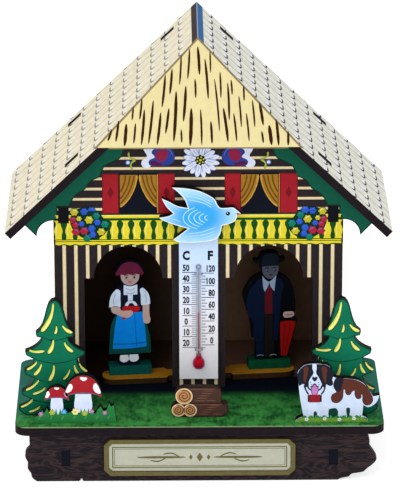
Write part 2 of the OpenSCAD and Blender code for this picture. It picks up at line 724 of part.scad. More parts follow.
module dog() {
    size = dog_w / width_of(dog_outline);
    color("#c3d2ec") place() translate([dog_x, 0, 0]) upright(-front_row_y) {
        difference() {
            polygon(smooth(dog_outline) * size);
            polygon(dog_gap * size);
        }
        foot_tab(0);
    }
}

// Stacked logs seen from the side, with their round ends on the left
module log_pile() {
    size = logs_w / logs_nominal_w;
    color("#4a2e22") place() upright(-logs_y) {
        for (q = log_ends) scale(size) translate([q[0], q[1]]) circle(q[2]);
        scale(size) polygon(smooth(lower_logs));
        scale(size) polygon(smooth(upper_log));
        foot_tab(0);
    }
}

module guide_pin() {
    color("goldenrod") place() translate([0, pivot_y, -sheet_t]) cylinder(d = pin_d, h = sheet_t + pin_h);
}

// Half of the beam's front edge: a waist that widens to the figure's place
function beam_edge(x) =
    let (part = (x - beam_waist_x) / beam_blend, ease = part * part * (3 - 2 * part))
        beam_waist / 2 + (beam_w - beam_waist) / 2 * ease;

module figure_beam() {
    steps = [for (i = [0:6]) beam_waist_x + beam_blend * i / 6];
    quarter = concat([for (x = steps) [x, beam_edge(x)]],
        arc(beam_len / 2 - beam_corner_r, beam_w / 2 - beam_corner_r, beam_corner_r, 90, 0, 8));
    back = [for (i = [len(quarter) - 1:-1:0]) quarter[i]];
    color("#a8741e") on_beam() difference() {
        translate([0, 0, beam_gap]) linear_extrude(beam_t) polygon(concat(
            quarter, [for (q = back) [q[0], -q[1]]],
            [for (q = quarter) [-q[0], -q[1]]], [for (q = back) [-q[0], q[1]]]));
        translate([0, 0, -1]) cylinder(d = hub_d, h = beam_top + 2);
    }
}

module beam_hub() {
    color("#d2a566") on_beam() difference() {
        translate([0, 0, beam_gap]) cylinder(d = hub_d, h = hub_z - beam_gap);
        translate([0, 0, -1]) cylinder(d = pin_d + 2 * run_gap, h = pin_h + 1 + clear_gap);
        translate([0, 0, hub_z - gut_seat]) cylinder(d = gut_d, h = gut_seat + 1);
    }
}

module gut_string() {
    color("#d8c088") on_beam() translate([0, 0, hub_z - gut_seat])
        cylinder(d = gut_d, h = stem_z - hub_z + 2 * gut_seat);
}

module adjusting_knob() {
    color("#b07a3c") place() translate([0, pivot_y, 0]) difference() {
        union() {
            translate([0, 0, stem_z]) cylinder(d = stem_d, h = knob_z - stem_z + 1);
            translate([0, 0, knob_z]) cylinder(d = knob_d, h = knob_h);
        }
        for (i = [0:knob_flutes - 1]) rotate([0, 0, i * 360 / knob_flutes])
            translate([knob_d / 2, 0, knob_z - 1]) cylinder(d = flute_d, h = knob_h + 2);
        translate([0, 0, stem_z - 1]) cylinder(d = gut_d + 2 * run_gap, h = gut_seat + 1 + clear_gap);
    }
}

module knob_collar() {
    color("#b07a3c") place() translate([0, pivot_y, bridge_z - clear_gap - collar_h]) difference() {
        cylinder(d = collar_d, h = collar_h);
        translate([0, 0, -1]) cylinder(d = stem_d, h = collar_h + 2);
    }
}

// A figure's stand with the slot for its tab
module stand(x) {
    on_beam() translate([x, stand_y, beam_top]) difference() {
        translate([-stand_w / 2, -stand_d / 2, 0]) cube([stand_w, stand_d, stand_h]);
        translate([-stand_tab_len / 2 - fit_gap, -sheet_t / 2 - fit_gap, stand_h - stand_slot - fit_gap])
            cube([stand_tab_len + 2 * fit_gap, sheet_t + 2 * fit_gap, stand_h]);
    }
}

// A flat figure that stands in its slot
module figure(x, outline, height) {
    on_beam() translate([x, stand_y, stand_top]) upright(-sheet_t / 2) {
        polygon(smooth(outline) * (height / top_of(outline)));
        translate([-stand_tab_len / 2, -stand_slot]) square([stand_tab_len, stand_slot + tab_root]);
    }
}

base_front_board();
base_back_board();
base_rail(-1);  // base_rail_left
base_rail(1);  // base_rail_right
name_plate_frame();
name_plate_panel();
ground_plate();
front_wall();
back_wall();
side_wall(-1);  // side_wall_left
side_wall(1);  // side_wall_right
color("#f6e8cc") mirror([1, 0, 0]) roof_panel();  // roof_left
color("#e6e0c8") roof_panel();  // roof_right
hip_panel();
ridge_bar();
knob_bridge();
thermometer_card();
thermometer_glass();
thermometer_liquid();
clip(clip_low_z);  // thermometer_clip_low
clip(clip_high_z);  // thermometer_clip_high
bird();
bird_spacer();
tree(-tree_left_x);  // tree_left
tree(tree_right_x);  // tree_right
mushrooms();
dog();
log_pile();
guide_pin();
adjusting_knob();
knob_collar();
figure_beam();
beam_hub();
gut_string();
color("#05403a") stand(woman_x);  // woman_stand
color("#0070c8") figure(woman_x, woman_outline, woman_h);  // woman
color("#033a28") stand(man_x);  // man_stand
color("#0a1830") figure(man_x, man_outline, man_h);  // man
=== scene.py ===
"""Printed and stained finish of a small weather house, laid out as an add-on."""
import json
import math

import bpy
from bpy.props import FloatProperty, FloatVectorProperty, IntProperty, PointerProperty
from mathutils import Matrix, Vector

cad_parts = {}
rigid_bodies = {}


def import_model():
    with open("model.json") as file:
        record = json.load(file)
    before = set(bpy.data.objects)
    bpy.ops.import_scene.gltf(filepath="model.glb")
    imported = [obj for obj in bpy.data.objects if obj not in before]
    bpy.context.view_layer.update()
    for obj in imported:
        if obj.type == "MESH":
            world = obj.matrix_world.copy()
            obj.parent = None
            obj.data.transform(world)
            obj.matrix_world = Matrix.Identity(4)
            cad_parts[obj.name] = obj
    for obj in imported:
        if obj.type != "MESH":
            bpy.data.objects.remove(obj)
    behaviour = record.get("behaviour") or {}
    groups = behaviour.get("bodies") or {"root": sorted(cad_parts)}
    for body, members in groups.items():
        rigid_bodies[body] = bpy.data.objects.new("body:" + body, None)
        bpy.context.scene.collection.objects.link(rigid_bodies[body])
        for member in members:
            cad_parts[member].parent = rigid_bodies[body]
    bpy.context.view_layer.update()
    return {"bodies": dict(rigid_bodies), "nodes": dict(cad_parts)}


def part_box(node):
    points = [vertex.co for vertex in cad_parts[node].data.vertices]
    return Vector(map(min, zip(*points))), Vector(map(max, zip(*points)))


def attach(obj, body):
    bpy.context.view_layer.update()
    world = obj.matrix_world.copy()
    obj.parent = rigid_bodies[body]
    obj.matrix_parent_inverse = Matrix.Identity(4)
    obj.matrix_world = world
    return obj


bl_info = {
    "name": "Weather House Finish",
    "version": (1, 0, 0),
    "blender": (4, 5, 0),
    "location": "View3D > Sidebar > Weather House",
    "description": "Stains, prints and stage of a weather house",
    "category": "Object",
}

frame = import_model()

MM = 0.001
# Prints and patterns are measured in millimetres from the wall's front face at ground level
WALL = Vector((0.0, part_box("front_wall")[0].y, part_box("ground_plate")[1].z))
RIDGE = (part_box("ridge_bar")[1].z - WALL.z) / MM
FORWARD = Vector((0.0, -1.0, 0.0))
SKYWARD = (0.0, 0.0, 1.0)
ROOF_TILT = math.radians(43.74)
HIP_LEAN = math.radians(62.05)
# Middle of the front slope's lower edge
HIP_FOOT = (0.0, -13.4, 103.65)
# Gap under the lowest ink, so that it never lies in the face that it is printed on
INK_GAP = 0.02
# Height of a capital letter as a share of the letter size
CAPITAL = 0.69
# Points of a sheet, and of ink, that are nearer than this become one, in metres
SHEET_WELD, INK_WELD = 1e-6, 2e-7
# A face is a front face from this cosine on, and faces within this angle are one
FRONTAL, FLAT = 0.95, 0.002
# Mirror shine of all the finishes, which are matt
SHEEN = 0.05


def linear(code):
    """Linear red, green and blue of a colour written as six hex digits."""
    parts = [int(code[i:i + 2], 16) / 255 for i in (0, 2, 4)]
    return tuple(c / 12.92 if c <= 0.04045 else ((c + 0.055) / 1.055) ** 2.4 for c in parts)


def shade(code, about):
    """A colour setting with its default as six hex digits."""
    return FloatVectorProperty(name=about.capitalize(), description="Colour of the " + about,
                               default=linear(code), size=3, min=0.0, max=1.0, subtype="COLOR")


def span(name, millimetres, about):
    """A length setting with its default in millimetres."""
    return FloatProperty(name=name, description=about, default=millimetres * MM, min=0.0,
                         precision=6, unit="LENGTH")


# Settings

class HouseSizes(bpy.types.PropertyGroup):
    """Sizes of the printed work."""
    ink_t: span("Ink thickness", 0.03, "Thickness of one printed patch")
    ink_step: span("Ink step", 0.05, "Height from one printed layer to the next")
    rim: span("Rim", 0.45, "Border left around a printed field")
    plank_w: span("Plank width", 4.52, "Width of an upright plank on the lower wall")
    plank_gap: span("Plank gap", 1.3, "Width of the pale line between upright planks")
    board_h: span("Board height", 4.14, "Height of a lying board on the upper wall")
    board_gap: span("Board gap", 1.0, "Width of the pale line between lying boards")
    course: span("Shingle course", 7.5, "Length of one course of shingles down the slope")
    shingle_w: span("Shingle width", 8.4, "Width of one shingle")
    shingle_r: span("Shingle corner", 1.5, "Radius of a shingle's lower corners")
    baluster_step: span("Baluster step", 4.33, "Distance from one baluster to the next")
    baluster_count: IntProperty(name="Balusters", description="Number of balusters", default=26,
                                min=2, max=40)
    petal_count: IntProperty(name="Petals", description="Petals of the flower in the gable",
                             default=16, min=6, max=24)
    beam_turn: FloatProperty(name="Beam turn", description="Turn of the figure beam at rest",
                             default=math.radians(6.0), subtype="ANGLE")


class HouseColours(bpy.types.PropertyGroup):
    """Colours of stains and inks."""
    # Both slopes carry one print: the left is painted warmer and the right cooler, as painted light and
    # shade
    roof_left: shade("FFF5D8", "shingles on the left slope")
    roof_right: shade("F8F7EA", "shingles on the right slope")
    roof_line: shade("A59C80", "seams between shingles")
    roof_notch: shade("15171C", "line around the corners of the shingles")
    roof_gap: shade("FBFCFF", "light on the corners of the shingles")
    hip: shade("EADBA1", "front slope of the roof")
    hip_stroke: shade("3A1C06", "straw strokes on the front slope")
    hip_edge: shade("9C8858", "cut edge of the front slope")
    burnt: shade("1B1418", "cut edges of the sheets")
    bare: shade("B98F5E", "bare wood of bridge, hub and collar")
    inside: shade("33231A", "stain inside the house")
    room: shade("82634E", "inner face of the back wall")
    ridge_dark: shade("3C2E2D", "left face of the ridge bar")
    ridge_blue: shade("2B69A6", "right face of the ridge bar")
    # Painted highlight along the ridge, where its edge catches the light
    ridge_highlight: shade("9DB4CC", "light line along the ridge")
    barge: shade("0F5A45", "green field under the eaves")
    barge_dark: shade("07301F", "line around the green field")
    plank: shade("2F272A", "planks of the front wall")
    groove: shade("E8D5A8", "pale lines between planks")
    shutter: shade("9F1D28", "window shutters")
    shutter_dark: shade("74151E", "border and diamond of a shutter")
    pane: shade("0A0F1C", "window panes")
    curtain: shade("9E7226", "curtains")
    curtain_fold: shade("6E4710", "folds in a curtain")
    curtain_edge: shade("C8973C", "light hem of a curtain")
    rail: shade("E3D22E", "rails and balusters")
    rail_light: shade("F3EC9C", "light edge of the rails")
    balcony: shade("124A1E", "field behind the balusters")
    petal: shade("DCE4F6", "petals of the gable flower")
    petal_line: shade("5570B8", "lines between petals")
    heart: shade("0E1016", "heart of the gable flower")
    pollen: shade("C6C23A", "dots in a flower's heart")
    bloom_blue: shade("2B57C8", "blue flowers on the balcony")
    bloom_red: shade("B01F3C", "red flowers on the balcony")
    bloom_yellow: shade("C2B82B", "yellow flowers on the balcony")
    bloom_teal: shade("0A7A5E", "teal flowers on the balcony")
    tulip: shade("2C3F96", "petals of the side flowers")
    tulip_red: shade("8E2344", "heart of the side flowers")
    maroon: shade("5A1A44", "shade of the side flowers")
    tendril: shade("A9B84A", "tendrils beside the flowers")
    bird_rim: shade("EDF5FC", "border of the bird")
    bird: shade("3AA6EA", "middle of the bird")
    feather: shade("A6DAF8", "feather lines of the bird")
    bird_pale: shade("BFE6FF", "tips of the bird")
    card: shade("FBF8FF", "thermometer card")
    # Painted shade at the top of the card
    card_top_shade: shade("C9E1FF", "upper end of the thermometer card")
    ink: shade("16181E", "scale lines and numbers")
    liquid: shade("C2102A", "thermometer liquid")
    wire: shade("B9BDC4", "thermometer clips and guide pin")
    fir: shade("0A7050", "trees")
    fir_dark: shade("063A2C", "shade between the branches")
    fir_light: shade("D4D84C", "light strokes on the trees")
    cap: shade("A31F28", "mushroom caps")
    spot: shade("EEF1F8", "spots on the caps")
    stem: shade("D2DDF4", "mushroom stems")
    gill: shade("6A5A86", "underside of the caps")
    grass: shade("2A7E42", "grass strips")
    grass_light: shade("47994C", "light blades of grass")
    meadow: shade("7FA33A", "light strip under the dog")
    fur_white: shade("C9D7EE", "white fur of the dog")
    fur_brown: shade("592E24", "brown fur of the dog")
    fur_dark: shade("1A1F2A", "dark fur of the dog")
    tongue: shade("B877B8", "tongue of the dog")
    tag: shade("8A1C26", "tag on the dog's collar")
    log_side: shade("4A342C", "sides of the logs")
    log_light: shade("7A5040", "light grain on the logs")
    log_end: shade("C48A58", "ends of the logs")
    log_rim: shade("E8CDA2", "rim of the log ends")
    hat: shade("5A1630", "woman's hat")
    skin: shade("B89C96", "hands")
    shaded_skin: shade("474D5F", "face under the hat brim")
    # Painted darker than the hands, as painted shade under the hat
    face: shade("A68F8B", "woman's face")
    blush: shade("A8525A", "woman's mouth and the bird's beak")
    blouse: shade("C6D4E8", "blouse")
    sock: shade("D8DEE8", "socks")
    bodice: shade("0A1228", "bodice and outlines of the woman")
    belt: shade("A8161C", "belt")
    apron: shade("0080DE", "apron")
    apron_line: shade("0058A4", "hem and fold of the apron")
    skirt: shade("04443F", "skirt")
    stand: shade("065049", "stand under the woman")
    stand_man: shade("064A2E", "stand under the man")
    # The man's coat, outlines and hat crown are navy, painted darker still as painted shade: the man stands
    # back in the doorway
    coat: shade("02050B", "outlines of the man")
    coat_front: shade("03122C", "front of the coat")
    hat_blue: shade("081522", "crown of the man's hat")
    vest: shade("520E19", "vest")
    collar: shade("8A9DB8", "collar")
    trousers: shade("15110F", "trousers")
    umbrella: shade("9A0C08", "umbrella")
    beam: shade("BE8422", "figure beam")
    # Burnt cut edge of the beam, painted darker still as painted shade
    beam_edge: shade("352613", "cut edge of the beam")
    walnut: shade("1B181D", "base boards")
    walnut_light: shade("3A2C2D", "grain of the base boards")
    frame: shade("665F3A", "frame of the name plate")
    plate: shade("B4B5A3", "panel of the name plate")
    ground_dark: shade("0B4420", "shade of the green yard")
    ground: shade("47A04A", "green yard")
    ground_teal: shade("389080", "far corners of the yard")
    # Painted highlight where light catches the yard's front edge
    ground_rim_highlight: shade("B9C79A", "pale line at the yard's front edge")
    brass: shade("B08A4A", "adjusting knob")
    floor: shade("F6F6F7", "floor of the studio")


class HouseStage(bpy.types.PropertyGroup):
    """Camera, floor and light."""
    eye: FloatVectorProperty(name="Eye", description="Place of the camera", subtype="TRANSLATION",
                             unit="LENGTH", size=3, default=(-0.01188, -1.30924, 0.55680))
    pitch: FloatProperty(name="Pitch", description="How far the camera looks down",
                         default=math.radians(20.0), subtype="ANGLE")
    yaw: FloatProperty(name="Yaw", description="Turn of the camera to the right", default=0.0096,
                       subtype="ANGLE")
    roll: FloatProperty(name="Roll", description="Tilt of the camera", default=-0.0017,
                        subtype="ANGLE")
    lens: FloatProperty(name="Lens", description="Focal length", default=263.8, unit="CAMERA")
    floor_w: FloatProperty(name="Floor", description="Width of the floor", default=6.0,
                           unit="LENGTH")
    sky: FloatProperty(name="Sky", description="Strength of the light all round", default=0.66)
    key: FloatProperty(name="Key", description="Power of the key light", default=4.3,
                       unit="POWER")
    glow: FloatProperty(name="Floor glow", description="Light of the paper floor itself", default=0.62)
    fill: FloatProperty(name="Fill", description="Power of the fill light", default=4.0,
                        unit="POWER")


def sizes():
    return bpy.context.scene.house_sizes


def colour(name):
    return tuple(getattr(bpy.context.scene.house_colours, name)) + (1.0,)


# Material helpers

class Graph:
    """Adds nodes to a tree and links them."""

    def __init__(self, tree):
        self.tree = tree

    def add(self, kind, values=None, **settings):
        node = self.tree.nodes.new(kind)
        for key, value in settings.items():
            setattr(node, key, value)
        for key, value in (values or {}).items():
            self.put(value, node.inputs[key])
        return node

    def put(self, value, socket):
        if isinstance(value, bpy.types.NodeSocket):
            self.tree.links.new(value, socket)
        else:
            socket.default_value = value

    def sum(self, operation, *values):
        return self.add("ShaderNodeMath", dict(enumerate(values)), operation=operation).outputs[0]

    def plus(self, first, second):
        return self.sum("ADD", first, second)

    def less(self, first, second):
        return self.sum("SUBTRACT", first, second)

    def times(self, first, second):
        return self.sum("MULTIPLY", first, second)

    def over(self, first, second):
        return self.sum("DIVIDE", first, second)

    def scaled(self, value, factor, start):
        return self.sum("MULTIPLY_ADD", value, factor, start)

    def distance(self, first, second):
        """Length of the slanted side over two square ones."""
        return self.sum("SQRT", self.plus(self.sum("POWER", first, 2.0), self.sum("POWER", second, 2.0)))

    def ramp(self, value, low, high):
        """Rises smoothly from 0 to 1 between low and high."""
        node = self.add("ShaderNodeMapRange", {"Value": value, "From Min": low, "From Max": high},
                        interpolation_type="SMOOTHSTEP")
        return node.outputs["Result"]

    def between(self, value, low, high, soft):
        """1 from low to high and 0 outside, with soft ends."""
        up = self.ramp(value, low - soft, low + soft)
        return self.times(up, self.ramp(value, high + soft, high - soft))

    def mix(self, factor, first, second):
        node = self.add("ShaderNodeMix", {0: factor, 6: first, 7: second}, data_type="RGBA")
        return node.outputs[2]

    def look(self, name):
        return self.add("ShaderNodeTexCoord").outputs[name]

    def vector(self, operation, first, second):
        return self.add("ShaderNodeVectorMath", {0: first, 1: second}, operation=operation).outputs

    def place(self):
        """Object coordinates of the surface as three values in millimetres from the wall's foot."""
        near = self.vector("SUBTRACT", self.look("Object"), tuple(WALL))[0]
        wide = self.add("ShaderNodeVectorMath", {0: near, "Scale": 1 / MM}, operation="SCALE")
        return self.add("ShaderNodeSeparateXYZ", {0: wide.outputs[0]}).outputs

    def noise(self, scale, detail=3.0, stretch=(1.0, 1.0, 1.0), distortion=0.0):
        drawn = self.vector("MULTIPLY", self.look("Object"), stretch)[0]
        node = self.add("ShaderNodeTexNoise", {"Vector": drawn, "Scale": scale, "Detail": detail,
                                               "Distortion": distortion})
        return node.outputs[0]

    def use(self, group, **values):
        node = self.add("ShaderNodeGroup", node_tree=group)
        for key, value in values.items():
            self.put(value, node.inputs[key])
        return node.outputs


TINT, VALUE, ARROW = "NodeSocketColor", "NodeSocketFloat", "NodeSocketVector"


def shared_group(name, inputs, outputs, build):
    """The node group of that name with its named sockets, built when it is first asked for."""
    tree = bpy.data.node_groups.get(name)
    if tree is None:
        tree = bpy.data.node_groups.new(name, "ShaderNodeTree")
        for label, kind in inputs.items():
            tree.interface.new_socket(label, in_out="INPUT", socket_type=kind)
        for label, kind in outputs.items():
            tree.interface.new_socket(label, in_out="OUTPUT", socket_type=kind)
        g = Graph(tree)
        given, out = g.add("NodeGroupInput").outputs, g.add("NodeGroupOutput").inputs
        for label, value in build(g, given).items():
            g.put(value, out[label])
    return tree


def mottle_group():
    """Uneven ink: a little light and dark over a colour, and a fine height."""
    def build(g, given):
        coarse, fine = g.noise(420.0, 3.0), g.noise(2600.0, 2.0)
        both = g.plus(g.times(coarse, 0.65), g.times(fine, 0.35))
        swing = g.times(g.less(both, 0.5), given["Amount"])
        tinted = g.add("ShaderNodeHueSaturation", {"Value": g.scaled(swing, 4.0, 1.0),
                                                   "Color": given["Colour"]})
        return {"Colour": tinted.outputs[0], "Height": fine, "Roughness": g.scaled(coarse, 0.24, 0.42)}
    return shared_group("Ink Mottle", {"Colour": TINT, "Amount": VALUE},
                        {"Colour": TINT, "Height": VALUE, "Roughness": VALUE}, build)


def faces_group():
    """Tells a sheet's printed side and its cut edge from the rest, by the side it faces."""
    def build(g, given):
        turned = g.vector("DOT_PRODUCT", g.look("Normal"), given["Facing"])["Value"]
        return {"Front": g.ramp(turned, 0.5, 0.6), "Edge": g.ramp(g.sum("ABSOLUTE", turned), 0.8, 0.7)}
    return shared_group("Sheet Sides", {"Facing": ARROW}, {"Front": VALUE, "Edge": VALUE}, build)


def grain_group():
    """Long wavy wood grain in two tones."""
    def build(g, given):
        scale = given["Scale"]
        broad = g.noise(scale, 4.0, given["Stretch"], 1.4)
        fine = g.noise(g.times(scale, 5.0), 2.0, given["Stretch"])
        lines = g.ramp(g.sum("PINGPONG", g.times(broad, 5.0), 0.5), 0.05, 0.5)
        both = g.times(lines, g.scaled(fine, 0.8, 0.5))
        return {"Colour": g.mix(both, given["Dark"], given["Light"]), "Height": both,
                "Roughness": g.scaled(fine, 0.25, 0.4)}
    return shared_group("Wood Grain", {"Dark": TINT, "Light": TINT, "Stretch": ARROW, "Scale": VALUE},
                        {"Colour": TINT, "Height": VALUE, "Roughness": VALUE}, build)


def new_finish(name):
    """A fresh material with its graph and shader."""
    material = bpy.data.materials.new(name)
    material.use_nodes = True
    shader = material.node_tree.nodes["Principled BSDF"]
    shader.inputs["Specular IOR Level"].default_value = SHEEN
    return material, Graph(material.node_tree), shader


def paint(g, shader, tint, rough, height=None, depth=0.0):
    """Gives a shader its colour, its roughness and fine relief of that depth in millimetres."""
    g.put(tint, shader.inputs["Base Color"])
    g.put(rough, shader.inputs["Roughness"])
    if height is not None:
        bump = g.add("ShaderNodeBump", {"Strength": 0.5, "Distance": depth * MM, "Height": height})
        g.put(bump.outputs["Normal"], shader.inputs["Normal"])


def ink_over(g, tint, amount):
    return g.use(mottle_group(), Colour=colour(tint) if isinstance(tint, str) else tint, Amount=amount)


def wood_of(g, dark, light, stretch, scale):
    return g.use(grain_group(), Dark=colour(dark), Light=colour(light), Stretch=stretch, Scale=scale)


def inked(name, amount=0.12):
    """Printed ink in one of the named colours, uneven as ink on wood is."""
    label = "ink_" + name
    if label in bpy.data.materials:
        return bpy.data.materials[label]
    material, g, shader = new_finish(label)
    ink = ink_over(g, name, amount)
    paint(g, shader, ink["Colour"], ink["Roughness"], ink["Height"], 0.02)
    return material


def stained_sheet(name, facing, front, back, amount=0.12, cut="burnt"):
    """A cut sheet: printed side, other side and burnt edge. A function draws a side, or it is one colour."""
    material, g, shader = new_finish(name)
    sides = g.use(faces_group(), Facing=tuple(facing))
    ink = ink_over(g, front if isinstance(front, str) else front(g), amount)
    if back == front:
        behind = ink
    elif callable(back):
        behind = ink_over(g, back(g), amount)
    else:
        behind = wood_of(g, "inside", back, (1.0, 1.0, 0.12), 700.0)
    tint = g.mix(sides["Front"], behind["Colour"], ink["Colour"])
    tint = g.mix(sides["Edge"], tint, ink_over(g, cut, 0.3)["Colour"])
    paint(g, shader, tint, ink["Roughness"], ink["Height"], 0.03)
    return material


def wooden(name, dark, light, stretch, scale, depth=0.05):
    """Plain wood; the stretch is small along the grain."""
    material, g, shader = new_finish(name)
    grain = wood_of(g, dark, light, stretch, scale)
    paint(g, shader, grain["Colour"], grain["Roughness"], grain["Height"], depth)
    return material


def metal(name, tone, rough):
    material, g, shader = new_finish(name)
    ink = ink_over(g, tone, 0.08)
    shader.inputs["Metallic"].default_value = 1.0
    paint(g, shader, ink["Colour"], g.scaled(ink["Height"], 0.2, rough))
    return material


def dress(material, *nodes):
    """Gives CAD nodes a finish through their material slots."""
    for node in nodes:
        slots = frame["nodes"][node].data.materials
        slots.clear()
        slots.append(material)


# Outline helpers, in millimetres

def mirrored(points):
    return [(-p[0],) + tuple(p[1:]) for p in points]


def pair(*shapes):
    """Each outline, followed by its mirror image."""
    return [s for shape in shapes for s in (shape, mirrored(shape))]


def moved(points, x):
    return [(p[0] + x,) + tuple(p[1:]) for p in points]


def corners(*points):
    return [(x, z, 1) for x, z in points]


def oblong(x0, z0, x1, z1):
    return corners((x0, z0), (x1, z0), (x1, z1), (x0, z1))


def gem(x, z, wide, tall):
    """A diamond, from its middle and its half sizes."""
    return corners((x - wide, z), (x, z - tall), (x + wide, z), (x, z + tall))


def oval(x, z, rx, rz=None, count=8):
    rz = rx if rz is None else rz
    turns = [2 * math.pi * k / count for k in range(count)]
    return [(x + rx * math.cos(a), z + rz * math.sin(a)) for a in turns]


def bloom(x, z, r, lobes=6):
    """A small round flower with a wavy edge."""
    ring = []
    for k in range(2 * lobes):
        a = math.pi * k / lobes
        reach = r if k % 2 == 0 else 0.78 * r
        ring.append((x + reach * math.cos(a), z + reach * math.sin(a)))
    return ring


def ribbon(points, widths):
    """Outline of a band along points with a width at each point."""
    left, right = [], []
    last = len(points) - 1
    for k, (x, z) in enumerate(points):
        (x0, z0), (x1, z1) = points[max(k - 1, 0)], points[min(k + 1, last)]
        share = widths[k] / 2 / math.hypot(x1 - x0, z1 - z0)
        nx, nz = -(z1 - z0) * share, (x1 - x0) * share
        left.append((x + nx, z + nz))
        right.append((x - nx, z - nz))
    return left + right[::-1]


def stroke(points, width, ends=0.0):
    """A brush stroke along points; ends is the width left at both ends."""
    return ribbon(points, [ends] + [width] * (len(points) - 2) + [ends])


def strokes(lines, width, ends):
    return [stroke(line, width, ends) for line in lines]


def bowed(x0, z0, x1, z1, sway):
    """Five points from one end to the other, bowed sideways by sway."""
    nx, nz = -(z1 - z0) * sway, (x1 - x0) * sway
    return [(x0 + (x1 - x0) * t + nx * 4 * t * (1 - t), z0 + (z1 - z0) * t + nz * 4 * t * (1 - t))
            for t in (0.0, 0.25, 0.5, 0.75, 1.0)]


def dash(x0, z0, x1, z1, width, sway=0.0):
    """A stroke that is thick in the middle and thin at its ends."""
    return stroke(bowed(x0, z0, x1, z1, sway), width, 0.15 * width)


def comma(x0, z0, x1, z1, width, sway):
    """A hanging stroke that swells towards its lower end."""
    return ribbon(bowed(x0, z0, x1, z1, sway), [width * w for w in (0.15, 0.55, 0.85, 1.0, 0.35)])


def rule(x0, x1, z, width):
    """A level line with square ends."""
    return corners((x0, z + width / 2), (x1, z + width / 2), (x1, z - width / 2), (x0, z - width / 2))


# Piece helpers

def only(obj):
    """Selects one object alone and makes it active."""
    bpy.ops.object.select_all(action="DESELECT")
    obj.select_set(True)
    bpy.context.view_layer.objects.active = obj


def upright(spot, turn=Matrix.Rotation(math.pi / 2, 4, "X")):
    """Place of a print that stands across the house, or is turned some other way."""
    return Matrix.Translation(spot) @ turn @ Matrix.Scale(MM, 4)


def on_wall(x=0.0, y=0.0, z=0.0):
    return upright(WALL + Vector((x, y, z)) * MM)


def on_face(node, x=0.0, z=0.0):
    """Place of a print on the front face of an upright node."""
    return on_wall(x, (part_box(node)[0].y - WALL.y) / MM, z)


